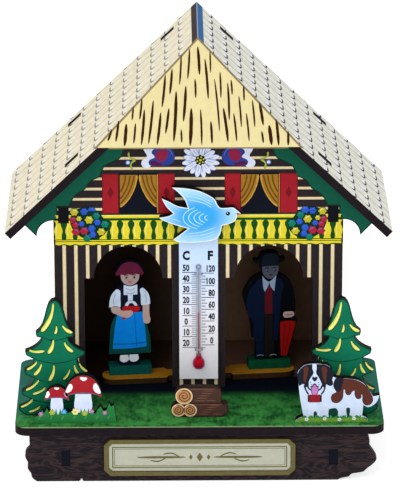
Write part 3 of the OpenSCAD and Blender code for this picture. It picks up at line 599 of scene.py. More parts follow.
class Print:
    """Printed patches on one flat face, gathered into one named piece."""

    def __init__(self, name, body, place):
        self.name, self.body, self.place = name, body, place
        self.parts = []

    def settle(self, obj, layer, material):
        """Turns flat work into a thin mesh at its place."""
        size = sizes()
        only(obj)
        bpy.ops.object.convert(target="MESH")
        obj.data.materials.clear()
        obj.data.materials.append(material)
        lift = (size.ink_t / 2 + size.ink_step * layer) / MM + INK_GAP
        obj.matrix_world = self.place @ Matrix.Translation((0.0, 0.0, lift))
        bpy.ops.object.transform_apply(location=True, rotation=True, scale=True)
        self.parts.append(obj)

    def fill(self, layer, tone, *shapes, grow=0.0, detail=4):
        """Fills closed outlines with one ink on one layer; a third value in a point is a corner."""
        bpy.ops.object.select_all(action="DESELECT")
        bpy.ops.curve.primitive_bezier_circle_add(radius=1.0, location=(0.0, 0.0, 0.0))
        obj = bpy.context.object
        curve = obj.data
        curve.dimensions = "2D"
        curve.fill_mode = "BOTH"
        curve.resolution_u = detail
        curve.extrude = sizes().ink_t / MM / 2
        curve.offset = grow
        curve.splines.clear()
        for shape in shapes:
            line = curve.splines.new("BEZIER")
            line.bezier_points.add(len(shape) - 1)
            line.use_cyclic_u = True
            for point, (x, z, *corner) in zip(line.bezier_points, shape):
                point.co = (x, z, 0.0)
                point.handle_left_type = point.handle_right_type = "VECTOR" if corner else "AUTO"
        self.settle(obj, layer, inked(tone) if isinstance(tone, str) else tone)

    def lay(self, patches):
        for patch in patches:
            self.fill(*patch)

    def write(self, layer, tone, words, x, z, height, narrow, bold):
        """A number or unit letter with its middle at x, z."""
        bpy.ops.object.select_all(action="DESELECT")
        bpy.ops.object.text_add()
        obj = bpy.context.object
        text = obj.data
        text.body = words
        text.align_x, text.align_y = "CENTER", "CENTER"
        text.size = height / CAPITAL
        text.resolution_u = 2
        text.offset = bold
        text.extrude = sizes().ink_t / MM / 2
        only(obj)
        bpy.ops.object.convert(target="MESH")
        bpy.ops.object.mode_set(mode="EDIT")
        bpy.ops.mesh.select_all(action="SELECT")
        bpy.ops.transform.resize(value=(narrow, 1.0, 1.0), center_override=(0.0, 0.0, 0.0))
        bpy.ops.transform.translate(value=(x, z, 0.0))
        bpy.ops.object.mode_set(mode="OBJECT")
        self.settle(obj, layer, inked(tone))

    def field(self, node, material):
        """The front face of a cut sheet drawn in from its outline, as a raised field."""
        size = sizes()
        obj = bpy.data.objects.new(node + "_field", frame["nodes"][node].data.copy())
        bpy.context.collection.objects.link(obj)
        obj.data.materials.clear()
        obj.data.materials.append(material)
        only(obj)
        bpy.ops.object.mode_set(mode="EDIT")
        bpy.ops.mesh.select_mode(type="FACE")
        bpy.ops.mesh.select_all(action="SELECT")
        bpy.ops.mesh.remove_doubles(threshold=SHEET_WELD)
        bpy.ops.mesh.select_all(action="DESELECT")
        bpy.ops.object.mode_set(mode="OBJECT")
        for face in obj.data.polygons:
            face.select = face.normal.dot(FORWARD) < FRONTAL
        bpy.ops.object.mode_set(mode="EDIT")
        bpy.ops.mesh.delete(type="FACE")
        bpy.ops.mesh.select_all(action="SELECT")
        bpy.ops.mesh.dissolve_limited(angle_limit=FLAT)
        bpy.ops.mesh.select_all(action="SELECT")
        bpy.ops.mesh.inset(thickness=size.rim, use_boundary=True)
        bpy.ops.mesh.select_all(action="INVERT")
        bpy.ops.mesh.delete(type="FACE")
        bpy.ops.mesh.select_all(action="SELECT")
        bpy.ops.transform.translate(value=tuple(FORWARD * (size.ink_t + INK_GAP * MM)))
        bpy.ops.object.mode_set(mode="OBJECT")
        bpy.ops.object.modifier_add(type="SOLIDIFY")
        solid = obj.modifiers[-1]
        solid.thickness = size.ink_t
        solid.offset = -1.0
        bpy.ops.object.modifier_apply(modifier=solid.name)
        self.parts.append(obj)

    def finish(self):
        """Joins the patches into one piece that rides on its body; gives the operator's result."""
        bpy.ops.object.select_all(action="DESELECT")
        for part in self.parts:
            part.select_set(True)
        bpy.context.view_layer.objects.active = self.parts[0]
        if len(self.parts) > 1:
            bpy.ops.object.join()
        obj = bpy.context.view_layer.objects.active
        obj.name = obj.data.name = self.name
        bpy.ops.object.mode_set(mode="EDIT")
        bpy.ops.mesh.select_all(action="SELECT")
        bpy.ops.mesh.remove_doubles(threshold=INK_WELD)
        bpy.ops.mesh.normals_make_consistent(inside=False)
        bpy.ops.object.mode_set(mode="OBJECT")
        if not obj.data.polygons:
            raise RuntimeError(self.name + " has no faces")
        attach(obj, self.body)
        return {"FINISHED"}


# Finishes of the cut pieces

# Heights of the upright planks and of the lying boards, and of one line between boards
PLANKS = (0.0, 60.0)
BOARDS = (73.0, 96.4)
BOARD_LINE = 74.2


def plank_front(g):
    """Dark planks with pale lines: upright below, lying above."""
    def lines(value, start, pitch, gap, reach):
        """Lines across the middle of each pitch, within a reach of heights."""
        part = g.sum("FRACT", g.over(g.less(value, start), pitch))
        half = gap / pitch / 2
        return g.times(g.between(part, 0.5 - half, 0.5 + half, 0.03), g.between(z, *reach, 0.1))

    size = sizes()
    x, _, z = g.place()
    plank, board = size.plank_w / MM, size.board_h / MM
    low = lines(x, -100 * plank, plank, size.plank_gap / MM, PLANKS)
    high = lines(z, BOARD_LINE - 0.5 * board, board, size.board_gap / MM, BOARDS)
    wood = wood_of(g, "heart", "plank", (1.0, 1.0, 0.2), 700.0)
    return g.mix(g.sum("MAXIMUM", low, high), g.mix(0.6, wood["Colour"], colour("plank")), colour("groove"))


# Middles of the tabs that come through each slope: distance from the ridge, and depth
ROOF_TABS = ((67.4, 1.6), (67.4, 51.7), (16.2, 51.7))
TAB_HALF, KERF_HALF = 3.6, 2.1
# Each slope's first course, its shift along the ridge, and the strength of its dark marks and of its seam
# and grain lines; the marks are fainter on the left slope as painted light
SLOPES = {"left": (2.9, 103.3, 0.7, 0.5), "right": (1.1, 97.7, 1.0, 0.7)}
HOOK_W, SHINE_W = 0.68, 0.62


def shingle_front(side):
    """Rows of shingles: faint seams and grain, and a dark hook around one lower corner of each."""
    start, shift, dark, line_strength = SLOPES[side]

    def make(g):
        size = sizes()
        x, y, z = g.place()
        course, wide, round_r = size.course / MM, size.shingle_w / MM, size.shingle_r / MM
        down = g.plus(g.times(g.sum("ABSOLUTE", x), math.cos(ROOF_TILT)),
                      g.times(g.less(RIDGE, z), math.sin(ROOF_TILT)))
        rows = g.over(g.less(down, start), course)
        odd = g.times(g.sum("MODULO", g.sum("FLOOR", g.plus(rows, 10.0)), 2.0), 0.5)
        along = g.sum("FRACT", g.plus(g.over(g.plus(y, shift), wide), odd))
        seam = g.times(g.sum("MINIMUM", along, g.less(1.0, along)), wide)
        foot = g.times(g.less(1.0, g.sum("FRACT", rows)), course)
        aside = g.times(along, 0.6 * wide)
        far = g.distance(g.sum("MAXIMUM", g.less(round_r, aside), 0.0),
                         g.sum("MAXIMUM", g.less(round_r, foot), 0.0))
        near = g.times(g.ramp(aside, 4.2, 3.2), g.ramp(foot, 2.4, 1.8))
        hook = g.times(g.between(far, round_r - HOOK_W, round_r, 0.08), near)
        shine = g.times(g.ramp(aside, 3.1, 2.2), g.ramp(foot, 2.8, 2.1))
        shine = g.times(g.ramp(far, round_r - SHINE_W, round_r - SHINE_W - 0.13), shine)
        grain = g.ramp(g.noise(870.0, 2.0, (0.03, 1.0, 0.03)), 0.46, 0.68)
        lines = g.sum("MAXIMUM", g.ramp(seam, 0.6, 0.2), g.times(grain, 0.32))
        drawn = ink_over(g, "roof_" + side, 0.05)["Colour"]
        for mask, strength, tone in ((lines, line_strength, "roof_line"), (shine, dark, "roof_gap"),
                                     (hook, dark, "roof_notch")):
            drawn = g.mix(g.times(mask, strength), drawn, colour(tone))
        for reach, depth in ROOF_TABS:
            kerf = g.times(g.between(down, reach - TAB_HALF, reach + TAB_HALF, 0.1),
                           g.between(y, depth - KERF_HALF, depth + KERF_HALF, 0.1))
            drawn = g.mix(kerf, drawn, colour("heart"))
        return drawn
    return make


def room_side_shaded(g):
    """Stain of the room, with painted shade that darkens it behind the left door."""
    # Painted shade: the left part takes the darker inside stain
    return g.mix(g.ramp(g.place()[0], -25.0, 15.0), colour("inside"), colour("room"))


def card_front(g):
    """White card that turns darker and a little blue towards its top, as painted shade."""
    return g.mix(g.ramp(g.place()[2], 22.0, 60.0), colour("card"), colour("card_top_shade"))


def ridge_paint():
    """Dark on one side of the ridge, blue on the other, and a painted highlight on the edge between them."""
    material, g, shader = new_finish("ridge_paint")
    x = g.place()[0]
    ink = ink_over(g, g.mix(g.ramp(x, -0.2, 0.2), colour("ridge_dark"), colour("ridge_blue")), 0.2)
    rise = g.add("ShaderNodeSeparateXYZ", {0: g.look("Normal")}).outputs[2]
    # Painted highlight on the upward edge of the ridge bar
    crest_highlight = g.times(g.between(x, -0.2, 0.2, 0.12), g.ramp(rise, 0.2, 0.6))
    paint(g, shader, g.mix(crest_highlight, ink["Colour"], colour("ridge_highlight")), ink["Roughness"])
    return material


# Half widths of the painted shadow on the grass before the doors, and of the room behind it
DOOR_SHADOW_HALF, ROOM = 57.0, 52.0


def yard_paint():
    """Patchy grass that grows darker towards the house as painted shade, teal in the far corners, with a
    painted shadow at the doors and a pale painted highlight along the front edge.
    """
    material, g, shader = new_finish("yard")
    x, y, _ = g.place()
    sides = g.use(faces_group(), Facing=SKYWARD)
    patch = g.noise(120.0, 4.0, distortion=0.8)
    blades = g.noise(900.0, 3.0, (1.0, 0.35, 1.0))
    # Light patches of grass, weaker towards the house as painted shade
    light = g.times(g.ramp(g.plus(g.times(patch, 0.7), g.times(blades, 0.45)), 0.35, 0.8),
                    g.scaled(g.ramp(y, 5.0, -36.0), 0.8, 0.45))
    outer = g.times(g.ramp(g.sum("ABSOLUTE", x), 59.0, 70.0), g.ramp(y, -38.0, -12.0))
    # Painted shadow on the grass before the doors, in the dark of the panes
    threshold = g.times(g.ramp(y, -11.0, -3.0), g.between(x, -DOOR_SHADOW_HALF, DOOR_SHADOW_HALF, 0.5))
    room = g.times(g.ramp(y, 9.0, 16.0), g.between(x, -ROOM, ROOM, 0.5))
    # Painted highlight along the front edge of the yard
    line = g.times(g.between(y, -40.4, -39.7, 0.1), g.ramp(blades, 0.15, 0.4))
    green = colour("ground_dark")
    for mask, tint in ((light, colour("ground")), (g.times(outer, 0.75), colour("ground_teal")),
                       (threshold, colour("pane")), (room, room_side_shaded(g)), (line, colour("ground_rim_highlight"))):
        green = g.mix(mask, green, tint)
    tint = g.mix(sides["Front"], colour("inside"), green)
    tint = g.mix(sides["Edge"], tint, ink_over(g, "burnt", 0.3)["Colour"])
    paint(g, shader, tint, g.scaled(blades, 0.3, 0.45), blades, 0.04)
    return material


def plate_gold():
    material, g, shader = new_finish("plate_gold")
    gold = ink_over(g, "frame", 0.2)
    shader.inputs["Metallic"].default_value = 0.35
    paint(g, shader, gold["Colour"], gold["Roughness"], gold["Height"], 0.04)
    return material


# Height of the bulb's top, and the linear grey of the clear glass
BULB_TOP = 15.2
GLASS_GREY = (0.3, 0.34, 0.41, 1.0)


def tube_glass():
    """Clear grey tube whose bulb shows the liquid."""
    material, g, shader = new_finish("tube_glass")
    bulb = g.ramp(g.place()[2], BULB_TOP, BULB_TOP - 1.0)
    tint = g.mix(bulb, GLASS_GREY, colour("liquid"))
    paint(g, shader, tint, g.scaled(g.noise(900.0), 0.05, 0.05))
    g.put(g.scaled(bulb, 0.72, 0.2), shader.inputs["Alpha"])
    return material


def beam_wood():
    material, g, shader = new_finish("beam_wood")
    sides = g.use(faces_group(), Facing=SKYWARD)
    grain = wood_of(g, "curtain_fold", "beam", (0.15, 1.0, 1.0), 500.0)
    warm = g.mix(0.6, grain["Colour"], colour("beam"))
    # Burnt cut edge with painted shade
    tint = g.mix(sides["Edge"], warm, ink_over(g, "beam_edge", 0.3)["Colour"])
    paint(g, shader, tint, grain["Roughness"], grain["Height"], 0.04)
    return material


# Half sizes of the blue in the bird's middle, and the height of that middle
BLUE_HALF, BLUE_Z = (12.0, 9.0), 72.6


def bird_field():
    """Blue in the middle of the bird and pale towards its tips."""
    material, g, shader = new_finish("bird_field")
    x, _, z = g.place()
    away = g.distance(g.over(x, BLUE_HALF[0]), g.over(g.less(z, BLUE_Z), BLUE_HALF[1]))
    ink = ink_over(g, g.mix(g.ramp(away, 0.4, 1.45), colour("bird"), colour("bird_pale")), 0.06)
    paint(g, shader, ink["Colour"], ink["Roughness"])
    return material


def fir_field():
    """Green with a few darker clouds."""
    material, g, shader = new_finish("fir_field")
    cloud = g.times(g.ramp(g.noise(90.0, 2.0), 0.6, 0.3), 0.25)
    ink = ink_over(g, g.mix(cloud, colour("fir"), colour("fir_dark")), 0.1)
    paint(g, shader, ink["Colour"], ink["Roughness"])
    return material


class HOUSE_OT_walls(bpy.types.Operator):
    """Stains the walls, the roof and the knob bridge"""
    bl_idname = "weather_house.walls"
    bl_label = "Walls and Roof"

    def execute(self, context):
        dress(stained_sheet("front_planks", FORWARD, plank_front, "inside"), "front_wall")
        dress(stained_sheet("back_planks", -FORWARD, plank_front, room_side_shaded), "back_wall")
        dress(wooden("side_boards", "burnt", "plank", (1.0, 0.12, 1.0), 500.0),
              "side_wall_left", "side_wall_right")
        for sign, name in ((-1, "left"), (1, "right")):
            facing = (sign * math.sin(ROOF_TILT), 0.0, math.cos(ROOF_TILT))
            dress(stained_sheet("shingles_" + name, facing, shingle_front(name), "inside"), "roof_" + name)
        facing = (0.0, -math.sin(HIP_LEAN), math.cos(HIP_LEAN))
        dress(stained_sheet("straw", facing, "hip", "inside", 0.06, "hip_edge"), "hip_panel")
        dress(ridge_paint(), "ridge_bar")
        dress(wooden("bridge_wood", "inside", "bare", (0.15, 1.0, 1.0), 500.0), "knob_bridge")
        return {"FINISHED"}


class HOUSE_OT_base(bpy.types.Operator):
    """Stains the base boards, the name plate and the green yard"""
    bl_idname = "weather_house.base"
    bl_label = "Base and Yard"

    def execute(self, context):
        dress(wooden("walnut_boards", "walnut", "walnut_light", (0.2, 1.0, 1.0), 330.0),
              "base_front_board", "base_back_board")
        dress(wooden("walnut_rails", "pane", "heart", (1.0, 0.2, 1.0), 330.0),
              "base_rail_left", "base_rail_right")
        dress(yard_paint(), "ground_plate")
        dress(plate_gold(), "name_plate_frame")
        dress(inked("plate", 0.08), "name_plate_panel")
        return {"FINISHED"}


class HOUSE_OT_small_parts(bpy.types.Operator):
    """Finishes the thermometer, the beam and the cut-out pieces"""
    bl_idname = "weather_house.small_parts"
    bl_label = "Small Parts"

    def execute(self, context):
        dress(stained_sheet("card_stock", FORWARD, card_front, "card", 0.04), "thermometer_card")
        dress(tube_glass(), "thermometer_glass")
        dress(metal("clip_wire", "wire", 0.25), "thermometer_clip_low", "thermometer_clip_high")
        dress(metal("pin_steel", "wire", 0.2), "guide_pin")
        dress(metal("knob_brass", "brass", 0.3), "adjusting_knob")
        turn = sizes().beam_turn
        ahead = (math.sin(turn), -math.cos(turn), 0.0)
        for name, facing, tone, amount, nodes in (
                ("bird_stock", FORWARD, "bird_rim", 0.05, ["bird"]),
                ("fir_stock", FORWARD, "fir_dark", 0.2, ["tree_left", "tree_right"]),
                ("mushroom_stock", FORWARD, "grass", 0.3, ["mushrooms"]),
                ("dog_stock", FORWARD, "fur_white", 0.12, ["dog"]),
                ("woman_stock", ahead, "bodice", 0.2, ["woman"]),
                ("man_stock", ahead, "coat", 0.2, ["man"])):
            dress(stained_sheet(name, facing, tone, tone, amount), *nodes)
        dress(wooden("log_bark", "burnt", "log_side", (0.2, 1.0, 1.0), 900.0, 0.1), "log_pile")
        dress(beam_wood(), "figure_beam")
        dress(wooden("peg_wood", "curtain_fold", "bare", (1.0, 1.0, 0.2), 600.0), "beam_hub", "knob_collar")
        for tone, amount, node in (("liquid", 0.1, "thermometer_liquid"), ("pane", 0.12, "bird_spacer"),
                                   ("stand", 0.35, "woman_stand"), ("stand_man", 0.35, "man_stand"),
                                   ("curtain_edge", 0.2, "gut_string")):
            dress(inked(tone, amount), node)
        return {"FINISHED"}


# Prints on the front wall

BARGE = [
    (-28.6, 103, 1), (-29.4, 95.6), (-33.5, 93, 1), (-36.2, 91.2), (-37.6, 87.4, 1), (-41.2, 85.6),
    (-43.5, 82.4, 1), (-47.2, 79.8), (-49.2, 76.6), (-49.6, 75.3, 1), (-54.3, 75.3, 1), (-54.5, 70, 1),
    (-56, 69.8, 1), (-58.5, 69.3), (-60.7, 67.9), (-62, 65.9), (-62.6, 63.2, 1), (-68.6, 69.6, 1),
    (-28.6, 107.9, 1)]


class HOUSE_OT_bargeboards(bpy.types.Operator):
    """Prints the green scalloped fields under the eaves"""
    bl_idname = "weather_house.bargeboards"
    bl_label = "Bargeboards"

    def execute(self, context):
        work = Print("bargeboards", "house", on_wall())
        work.fill(0, "barge_dark", *pair(BARGE))
        work.fill(1, "barge", *pair(BARGE), grow=-0.45)
        return work.finish()


# Middle of each window and the sides of its shutters
WINDOWS = ((-23.1, (-37.1, -30.6), (-15.5, -9)), (23.55, (10.1, 16.4), (31.3, 38.3)))
# Lower edge of the windows, and upper edges of the panes, of the shutters and of their red leaves
SILL, LINTEL, SHUTTER_TOP, LEAF_TOP = 72.4, 88.9, 88.7, 88.4
CURTAIN = [(-7.1, 88.2, 1), (-0.3, 88.2, 1), (-0.8, 84.4), (-2.2, 80.6), (-4.3, 77.3), (-7.1, 74.8, 1)]
FOLDS = [
    [(-1.5, 88), (-2.5, 84), (-4.5, 79.6), (-6.9, 76.4)],
    [(-3.1, 88), (-3.9, 84), (-5.5, 80.6), (-7, 78.4)], [(-4.9, 88), (-5.3, 85), (-7, 81)]]
HEM = [(-0.5, 88), (-1, 84.4), (-2.4, 80.7), (-4.4, 77.5), (-6.9, 75.2)]


class HOUSE_OT_windows(bpy.types.Operator):
    """Prints the two windows with shutters and curtains"""
    bl_idname = "weather_house.windows"
    bl_label = "Windows"

    def execute(self, context):
        work = Print("windows", "house", on_wall())
        drapery = ((1, "curtain", [CURTAIN]), (2, "curtain_fold", strokes(FOLDS, 0.55, 0.25)),
                   (2, "curtain_edge", strokes([HEM], 0.42, 0.3)))
        for middle, left, right in WINDOWS:
            work.fill(0, "pane", oblong(left[1], SILL, right[0], LINTEL))
            for layer, tone, shapes in drapery:
                work.fill(layer, tone, *[moved(s, middle) for s in pair(*shapes)])
            work.fill(1, "curtain_edge", oblong(right[0] - 0.35, 72.6, right[0] - 0.05, LEAF_TOP))
            for x0, x1 in (left, right):
                work.fill(0, "shutter_dark", oblong(x0, SILL, x1, SHUTTER_TOP))
                work.fill(1, "shutter", oblong(x0 + 0.35, SILL + 0.3, x1 - 0.35, LEAF_TOP))
                work.fill(2, "shutter_dark", gem((x0 + x1) / 2, 81.0, 1.2, 2.4))
        return work.finish()


BALCONY_HALF = 55.3
BALUSTER = [
    (-1.65, 69.6, 1), (1.65, 69.6, 1), (0.9, 68.6), (1.65, 65.5), (1.2, 63), (1.45, 61.95, 1),
    (-1.45, 61.95, 1), (-1.2, 63), (-1.65, 65.5), (-0.9, 68.6)]
# Painted highlight down one side of a baluster
BALUSTER_LIGHT = stroke([(-0.35, 68.4), (-0.9, 65.6), (-0.6, 63)], 0.26, 0.1)


class HOUSE_OT_balcony(bpy.types.Operator):
    """Prints the balcony with its rails and balusters"""
    bl_idname = "weather_house.balcony"
    bl_label = "Balcony"

    def execute(self, context):
        def band(z0, z1):
            return oblong(-BALCONY_HALF, z0, BALCONY_HALF, z1)

        size = sizes()
        step = size.baluster_step / MM
        first = -step * (size.baluster_count - 1) / 2
        row = [first + step * k for k in range(size.baluster_count)]
        work = Print("balcony", "house", on_wall())
        work.fill(0, "balcony", band(59.5, 72.1))
        work.fill(1, "rail", band(70.6, 71.9))
        work.fill(1, "rail", *[moved(BALUSTER, x) for x in row], detail=3)
        work.fill(2, "rail_light", *[moved(BALUSTER_LIGHT, x) for x in row], detail=2)
        work.fill(1, "rail", band(61.2, 61.6))
        waves = [p for x in row[:-1] for p in ((x, 59.55), (x + step / 2, 60.0))]
        work.fill(1, "rail", corners((-BALCONY_HALF, 60.9), (-BALCONY_HALF, 59.9)) + waves
                  + corners((BALCONY_HALF, 59.9), (BALCONY_HALF, 60.9)), detail=3)
        work.fill(2, "rail_light", band(71.55, 71.8))
        work.fill(3, "heart", *pair(oblong(50.0, 68.6, 54.1, 75.0)))
        return work.finish()


# Middle and radius of the flower in the gable, and middle of the bud beside it
DAISY = (0.8, 94.1, 7.4)
BUD = (27.0, 93.2)
TULIP = [
    (9, 95.6), (10.1, 98.3), (12.1, 99.4), (15.2, 99.3), (17.5, 97.6), (16.6, 95.4), (18.3, 94.3),
    (18.9, 92.4), (17.1, 91.7), (14, 91.8), (10.9, 92.4), (9.4, 93.7)]
TULIP_RED = [
    (11.7, 97.6), (13.6, 98.5), (16, 97.4), (16.4, 95.8), (15.4, 93.9), (13.4, 93.7), (12.1, 95.1)]
TULIP_SHADE = [(13.8, 92.2), (15.6, 93.3), (17.5, 93.7), (18.5, 92.7), (17, 92)]
TULIP_PALE = [
    (14.2, 99.1), (16.4, 99.7), (21.1, 99.7), (20.7, 97.8), (19.7, 95.6), (21.6, 93.9), (21.8, 92.2),
    (20.7, 91.1), (18.7, 91.3), (18.2, 92.2), (19.1, 92.9), (18.5, 94.3), (16.8, 95.4), (17.9, 97.2),
    (16.6, 98.8)]
TENDRILS = [[(26.7, 97.2), (26.5, 95.6), (24, 94.3)], [(24, 94.3), (25.8, 92.7), (25.4, 90.2)]]
LEAVES = [
    (35, 66.4), (36.6, 70.6), (40.5, 74.4), (46, 74.6), (49.2, 71.4), (48.8, 66.6), (45.4, 63),
    (41.2, 61.8), (37.4, 63.2)]
# Flowers of one bunch on the balcony: middle and radius
POTS = {
    "bloom_blue": [
        (41.2, 73.8, 1.6), (44.1, 73.4, 1.5), (39.05, 69, 1.4), (45.1, 68.4, 1.2), (41.2, 66.5, 1.5),
        (40.8, 64, 1.4)],
    "bloom_yellow": [(47.85, 73.2, 1.6), (42.2, 70, 1.7), (46.1, 70.5, 1.1), (37.5, 65.1, 1.6)],
    "bloom_red": [(48.4, 70, 1.4), (47.5, 68, 1.3), (44.1, 65.5, 1.7), (47.3, 65.1, 1.6)],
    "bloom_teal": [(36.1, 68.2, 1.6), (39.4, 71.7, 1.5), (43, 62.6, 1.5)],
}


class HOUSE_OT_flowers(bpy.types.Operator):
    """Prints the flower in the gable and the flowers on the balcony"""
    bl_idname = "weather_house.flowers"
    bl_label = "Flowers"

    def execute(self, context):
        work = Print("gable_flowers", "house", on_wall())
        x, z, r = DAISY
        count = sizes().petal_count
        wide = 2 * math.pi * 0.7 * r / count * 0.46
        petals, ribs = [], []
        for k in range(count):
            a = 2 * math.pi * (k + 0.5) / count
            reach = r * (1.0, 0.88, 0.95)[k % 3]
            ca, sa = math.cos(a), math.sin(a)
            drawn = [(1.6, -0.35 * wide), (0.6 * reach, -wide), (0.9 * reach, -0.75 * wide), (reach, 0.0),
                     (0.9 * reach, 0.75 * wide), (0.6 * reach, wide), (1.6, 0.35 * wide)]
            petals.append([(x + u * ca - v * sa, z + u * sa + v * ca) for u, v in drawn])
            ribs.append(dash(x + 2.4 * ca, z + 2.4 * sa, x + 0.7 * reach * ca, z + 0.7 * reach * sa, 0.14))
        for k in (0, 1):
            work.fill(2 * k, "petal_line", *petals[k::2], grow=0.16)
            work.fill(2 * k + 1, "petal", *petals[k::2])
        work.fill(4, "petal_line", *ribs, detail=2)
        work.fill(5, "heart", bloom(x, z, 2.2, 8))
        dots = [oval(x + 1.25 * math.cos(a), z + 1.25 * math.sin(a), 0.36, count=6)
                for a in (0.3, 1.35, 2.4, 3.45, 4.5, 5.55)]
        work.fill(6, "pollen", oval(x, z, 0.5), *dots, detail=2)
        glint = stroke([(9.8, 96.0), (10.8, 98.0), (12.3, 98.9)], 0.4, 0.1)
        tendrils = [(1, "tendril", line) for line in strokes(TENDRILS, 0.5, 0.4)]
        for layer, tone, shape in (
                (0, "petal", TULIP_PALE), (1, "tulip", TULIP), (2, "tulip_red", TULIP_RED),
                (2, "maroon", TULIP_SHADE), (3, "petal_line", glint), *tendrils,
                (1, "petal_line", oval(*BUD, 1.0)), (2, "petal", oval(*BUD, 0.6))):
            work.fill(layer, tone, *pair(shape))
        work.finish()
        boxes = Print("balcony_flowers", "house", on_wall())
        boxes.fill(3, "barge_dark", *pair(LEAVES))
        for tone, spots in POTS.items():
            rings = pair(*[bloom(*spot) for spot in spots])
            boxes.fill(4, "barge_dark", *rings, grow=0.15, detail=3)
            boxes.fill(5, tone, *rings, detail=3)
            eyes = []
            for x, z, r in spots:
                bow = [(x - 0.5 * r, z + 0.1 * r), (x - 0.2 * r, z + 0.5 * r), (x + 0.3 * r, z + 0.5 * r)]
                eyes.append(stroke(bow, 0.2 * r, 0.08 * r))
            light = "rail_light" if tone == "bloom_yellow" else "petal_line"
            boxes.fill(6, light, *pair(*eyes), detail=2)
        return boxes.finish()


# Straw strokes up the front slope: both ends and the width
STRAWS = [
    (-3.2, 38.1, -4, 26.4, 0.74), (-0.1, 38.9, 0.5, 28, 1.04), (4.5, 37.2, 4.7, 28.8, 0.59),
    (2.6, 34.2, 3.8, 18.6, 0.89), (-6.4, 35.8, -7.1, 24.1, 0.67), (-9.9, 30.3, -10.8, 20.5, 0.89),
    (-12.5, 28, -13.8, 15.5, 0.89), (8.3, 29.1, 8.6, 19, 0.67), (-1.2, 26.4, -1, 19, 0.74),
    (-4.7, 23.7, -5.7, 10, 1.04), (-8.4, 21.7, -9.4, 2.2, 1.19), (6.2, 26.4, 8, 6.1, 0.67),
    (12.5, 26, 12.9, 20.2, 0.67), (11.2, 24.8, 11.7, 10.4, 0.81), (17.2, 23.7, 17.4, 17.8, 0.67),
    (15.4, 19.8, 16.3, 7.7, 0.67), (-17.1, 18.2, -19, 1.4, 0.89), (-21.4, 19, -22.3, 10.8, 0.74),
    (-20.5, 14.7, -21.7, 1, 0.96), (-11.2, 15.1, -12.5, 5.3, 0.89), (-14.3, 13.5, -15.7, 1, 0.96),
    (-2.7, 15.1, -3.2, 0.6, 1.33), (0.8, 14.7, 1.2, 1, 0.74), (9.5, 15.1, 11.2, 2, 1.04),
    (13.4, 13.1, 14.5, 2.2, 0.74), (4.7, 10, 5.1, 1.4, 0.89), (-6.6, 6.9, -6.4, 1.8, 0.67),
    (18.2, 13.1, 19.2, 2.2, 0.67), (20.5, 18.2, 21.4, 7.7, 0.67), (23.2, 17.4, 24.6, 8.4, 1.04),
    (24, 6.1, 24.6, 1.6, 0.74), (26.8, 8.4, 27.7, 0.8, 1.33), (29.5, 10.8, 30.4, 0.6, 1.04),
    (34, 6.1, 34, 0.6, 0.89), (-24.7, 15.8, -25.2, 10.6, 0.67), (-23.9, 9.4, -24.6, 1.6, 0.74),
    (-27.4, 9.2, -28.1, 0.6, 1.19), (-30.3, 10.4, -31.4, 2.3, 0.89), (-32.9, 7, -34.4, 2.6, 0.81)]


class HOUSE_OT_straws(bpy.types.Operator):
    """Prints the straw strokes on the front slope of the roof"""
    bl_idname = "weather_house.straws"
    bl_label = "Straw Strokes"

    def execute(self, context):
        slope = upright(WALL + Vector(HIP_FOOT) * MM, Matrix.Rotation(HIP_LEAN, 4, "X"))
        work = Print("straw_strokes", "house", slope)
        work.fill(0, "hip_stroke", *[dash(*straw, 0.01) for straw in STRAWS], detail=3)
        return work.finish()


# Prints on the thermometer and the bird

# Heights of the numbers, of the unit letters, and of a number's middle over its line
NUMBER_H, UNIT_H, NUMBER_RISE = 2.5, 3.4, 1.75
UNIT_Z = 55.4
# Middle of the hole at the top of the card
HOLE = (0.0, 50.9)
# Heights of the numbered lines
CELSIUS = {"heights": [48.6, 44.2, 39.8, 35.3, 30.7, 26.3, 21.9, 17.4],
           "words": ("50", "40", "30", "20", "10", "0", "10", "20")}
FAHRENHEIT = {"heights": [48.3, 43.1, 38.2, 33.3, 28.4, 23.3, 18.4],
              "words": ("120", "100", "80", "60", "40", "20", "0")}
DROP = [
    (0, 14.9, 1), (-0.65, 13.8), (-1.3, 12.6), (-1.9, 11.3), (-2, 10.1), (-1.4, 8.9), (0, 8.4), (1.4, 8.9),
    (2, 10.1), (1.9, 11.3), (1.3, 12.6), (0.65, 13.8)]


class HOUSE_OT_scale(bpy.types.Operator):
    """Prints the two scales on the thermometer card"""
    bl_idname = "weather_house.scale"
    bl_label = "Thermometer Scale"

    def execute(self, context):
        def between(heights, parts, extra):
            """Lines between the numbered ones, and a few past the last: number and height."""
            count = len(heights) - 1
            step = (heights[0] - heights[-1]) / count
            return [(k, heights[0] - step * k / parts) for k in range(parts * count + extra) if k % parts]

        work = Print("thermometer_scale", "house", on_face("thermometer_card"))
        thin, fine = 0.26, 0.2
        warm, other = CELSIUS["heights"], FAHRENHEIT["heights"]
        lines = [rule(-6.3, -0.8, z, thin) for z in warm]
        lines += [rule(-2.7, -0.8, z, fine) for _, z in between(warm, 5, 0)]
        lines += [rule(1.2, 6.1, z, thin) for z in other]
        lines += [rule(1.2, 2.7 if k % 2 else 3.4, z, thin) for k, z in between(other, 4, 2)]
        work.fill(0, "ink", *lines, detail=1)
        for z, words in zip(warm, CELSIUS["words"]):
            work.write(0, "ink", words, -4.85, z + NUMBER_RISE, NUMBER_H, 0.72, 0.13)
        for z, words in zip(other, FAHRENHEIT["words"]):
            x = 4.55 if len(words) > 2 else 5.1
            work.write(0, "ink", words, x, z + NUMBER_RISE, NUMBER_H, 0.68, 0.13)
        work.fill(0, "collar", oval(*HOLE, 1.15, 1.2), oval(*HOLE, 0.5, 0.55))
        work.fill(0, "tongue", DROP, grow=0.35)
        work.fill(1, "liquid", DROP)
        work.write(0, "ink", "C", -4.8, UNIT_Z, UNIT_H, 0.8, 0.24)
        work.write(0, "ink", "F", 4.5, UNIT_Z, UNIT_H, 0.9, 0.24)
        return work.finish()


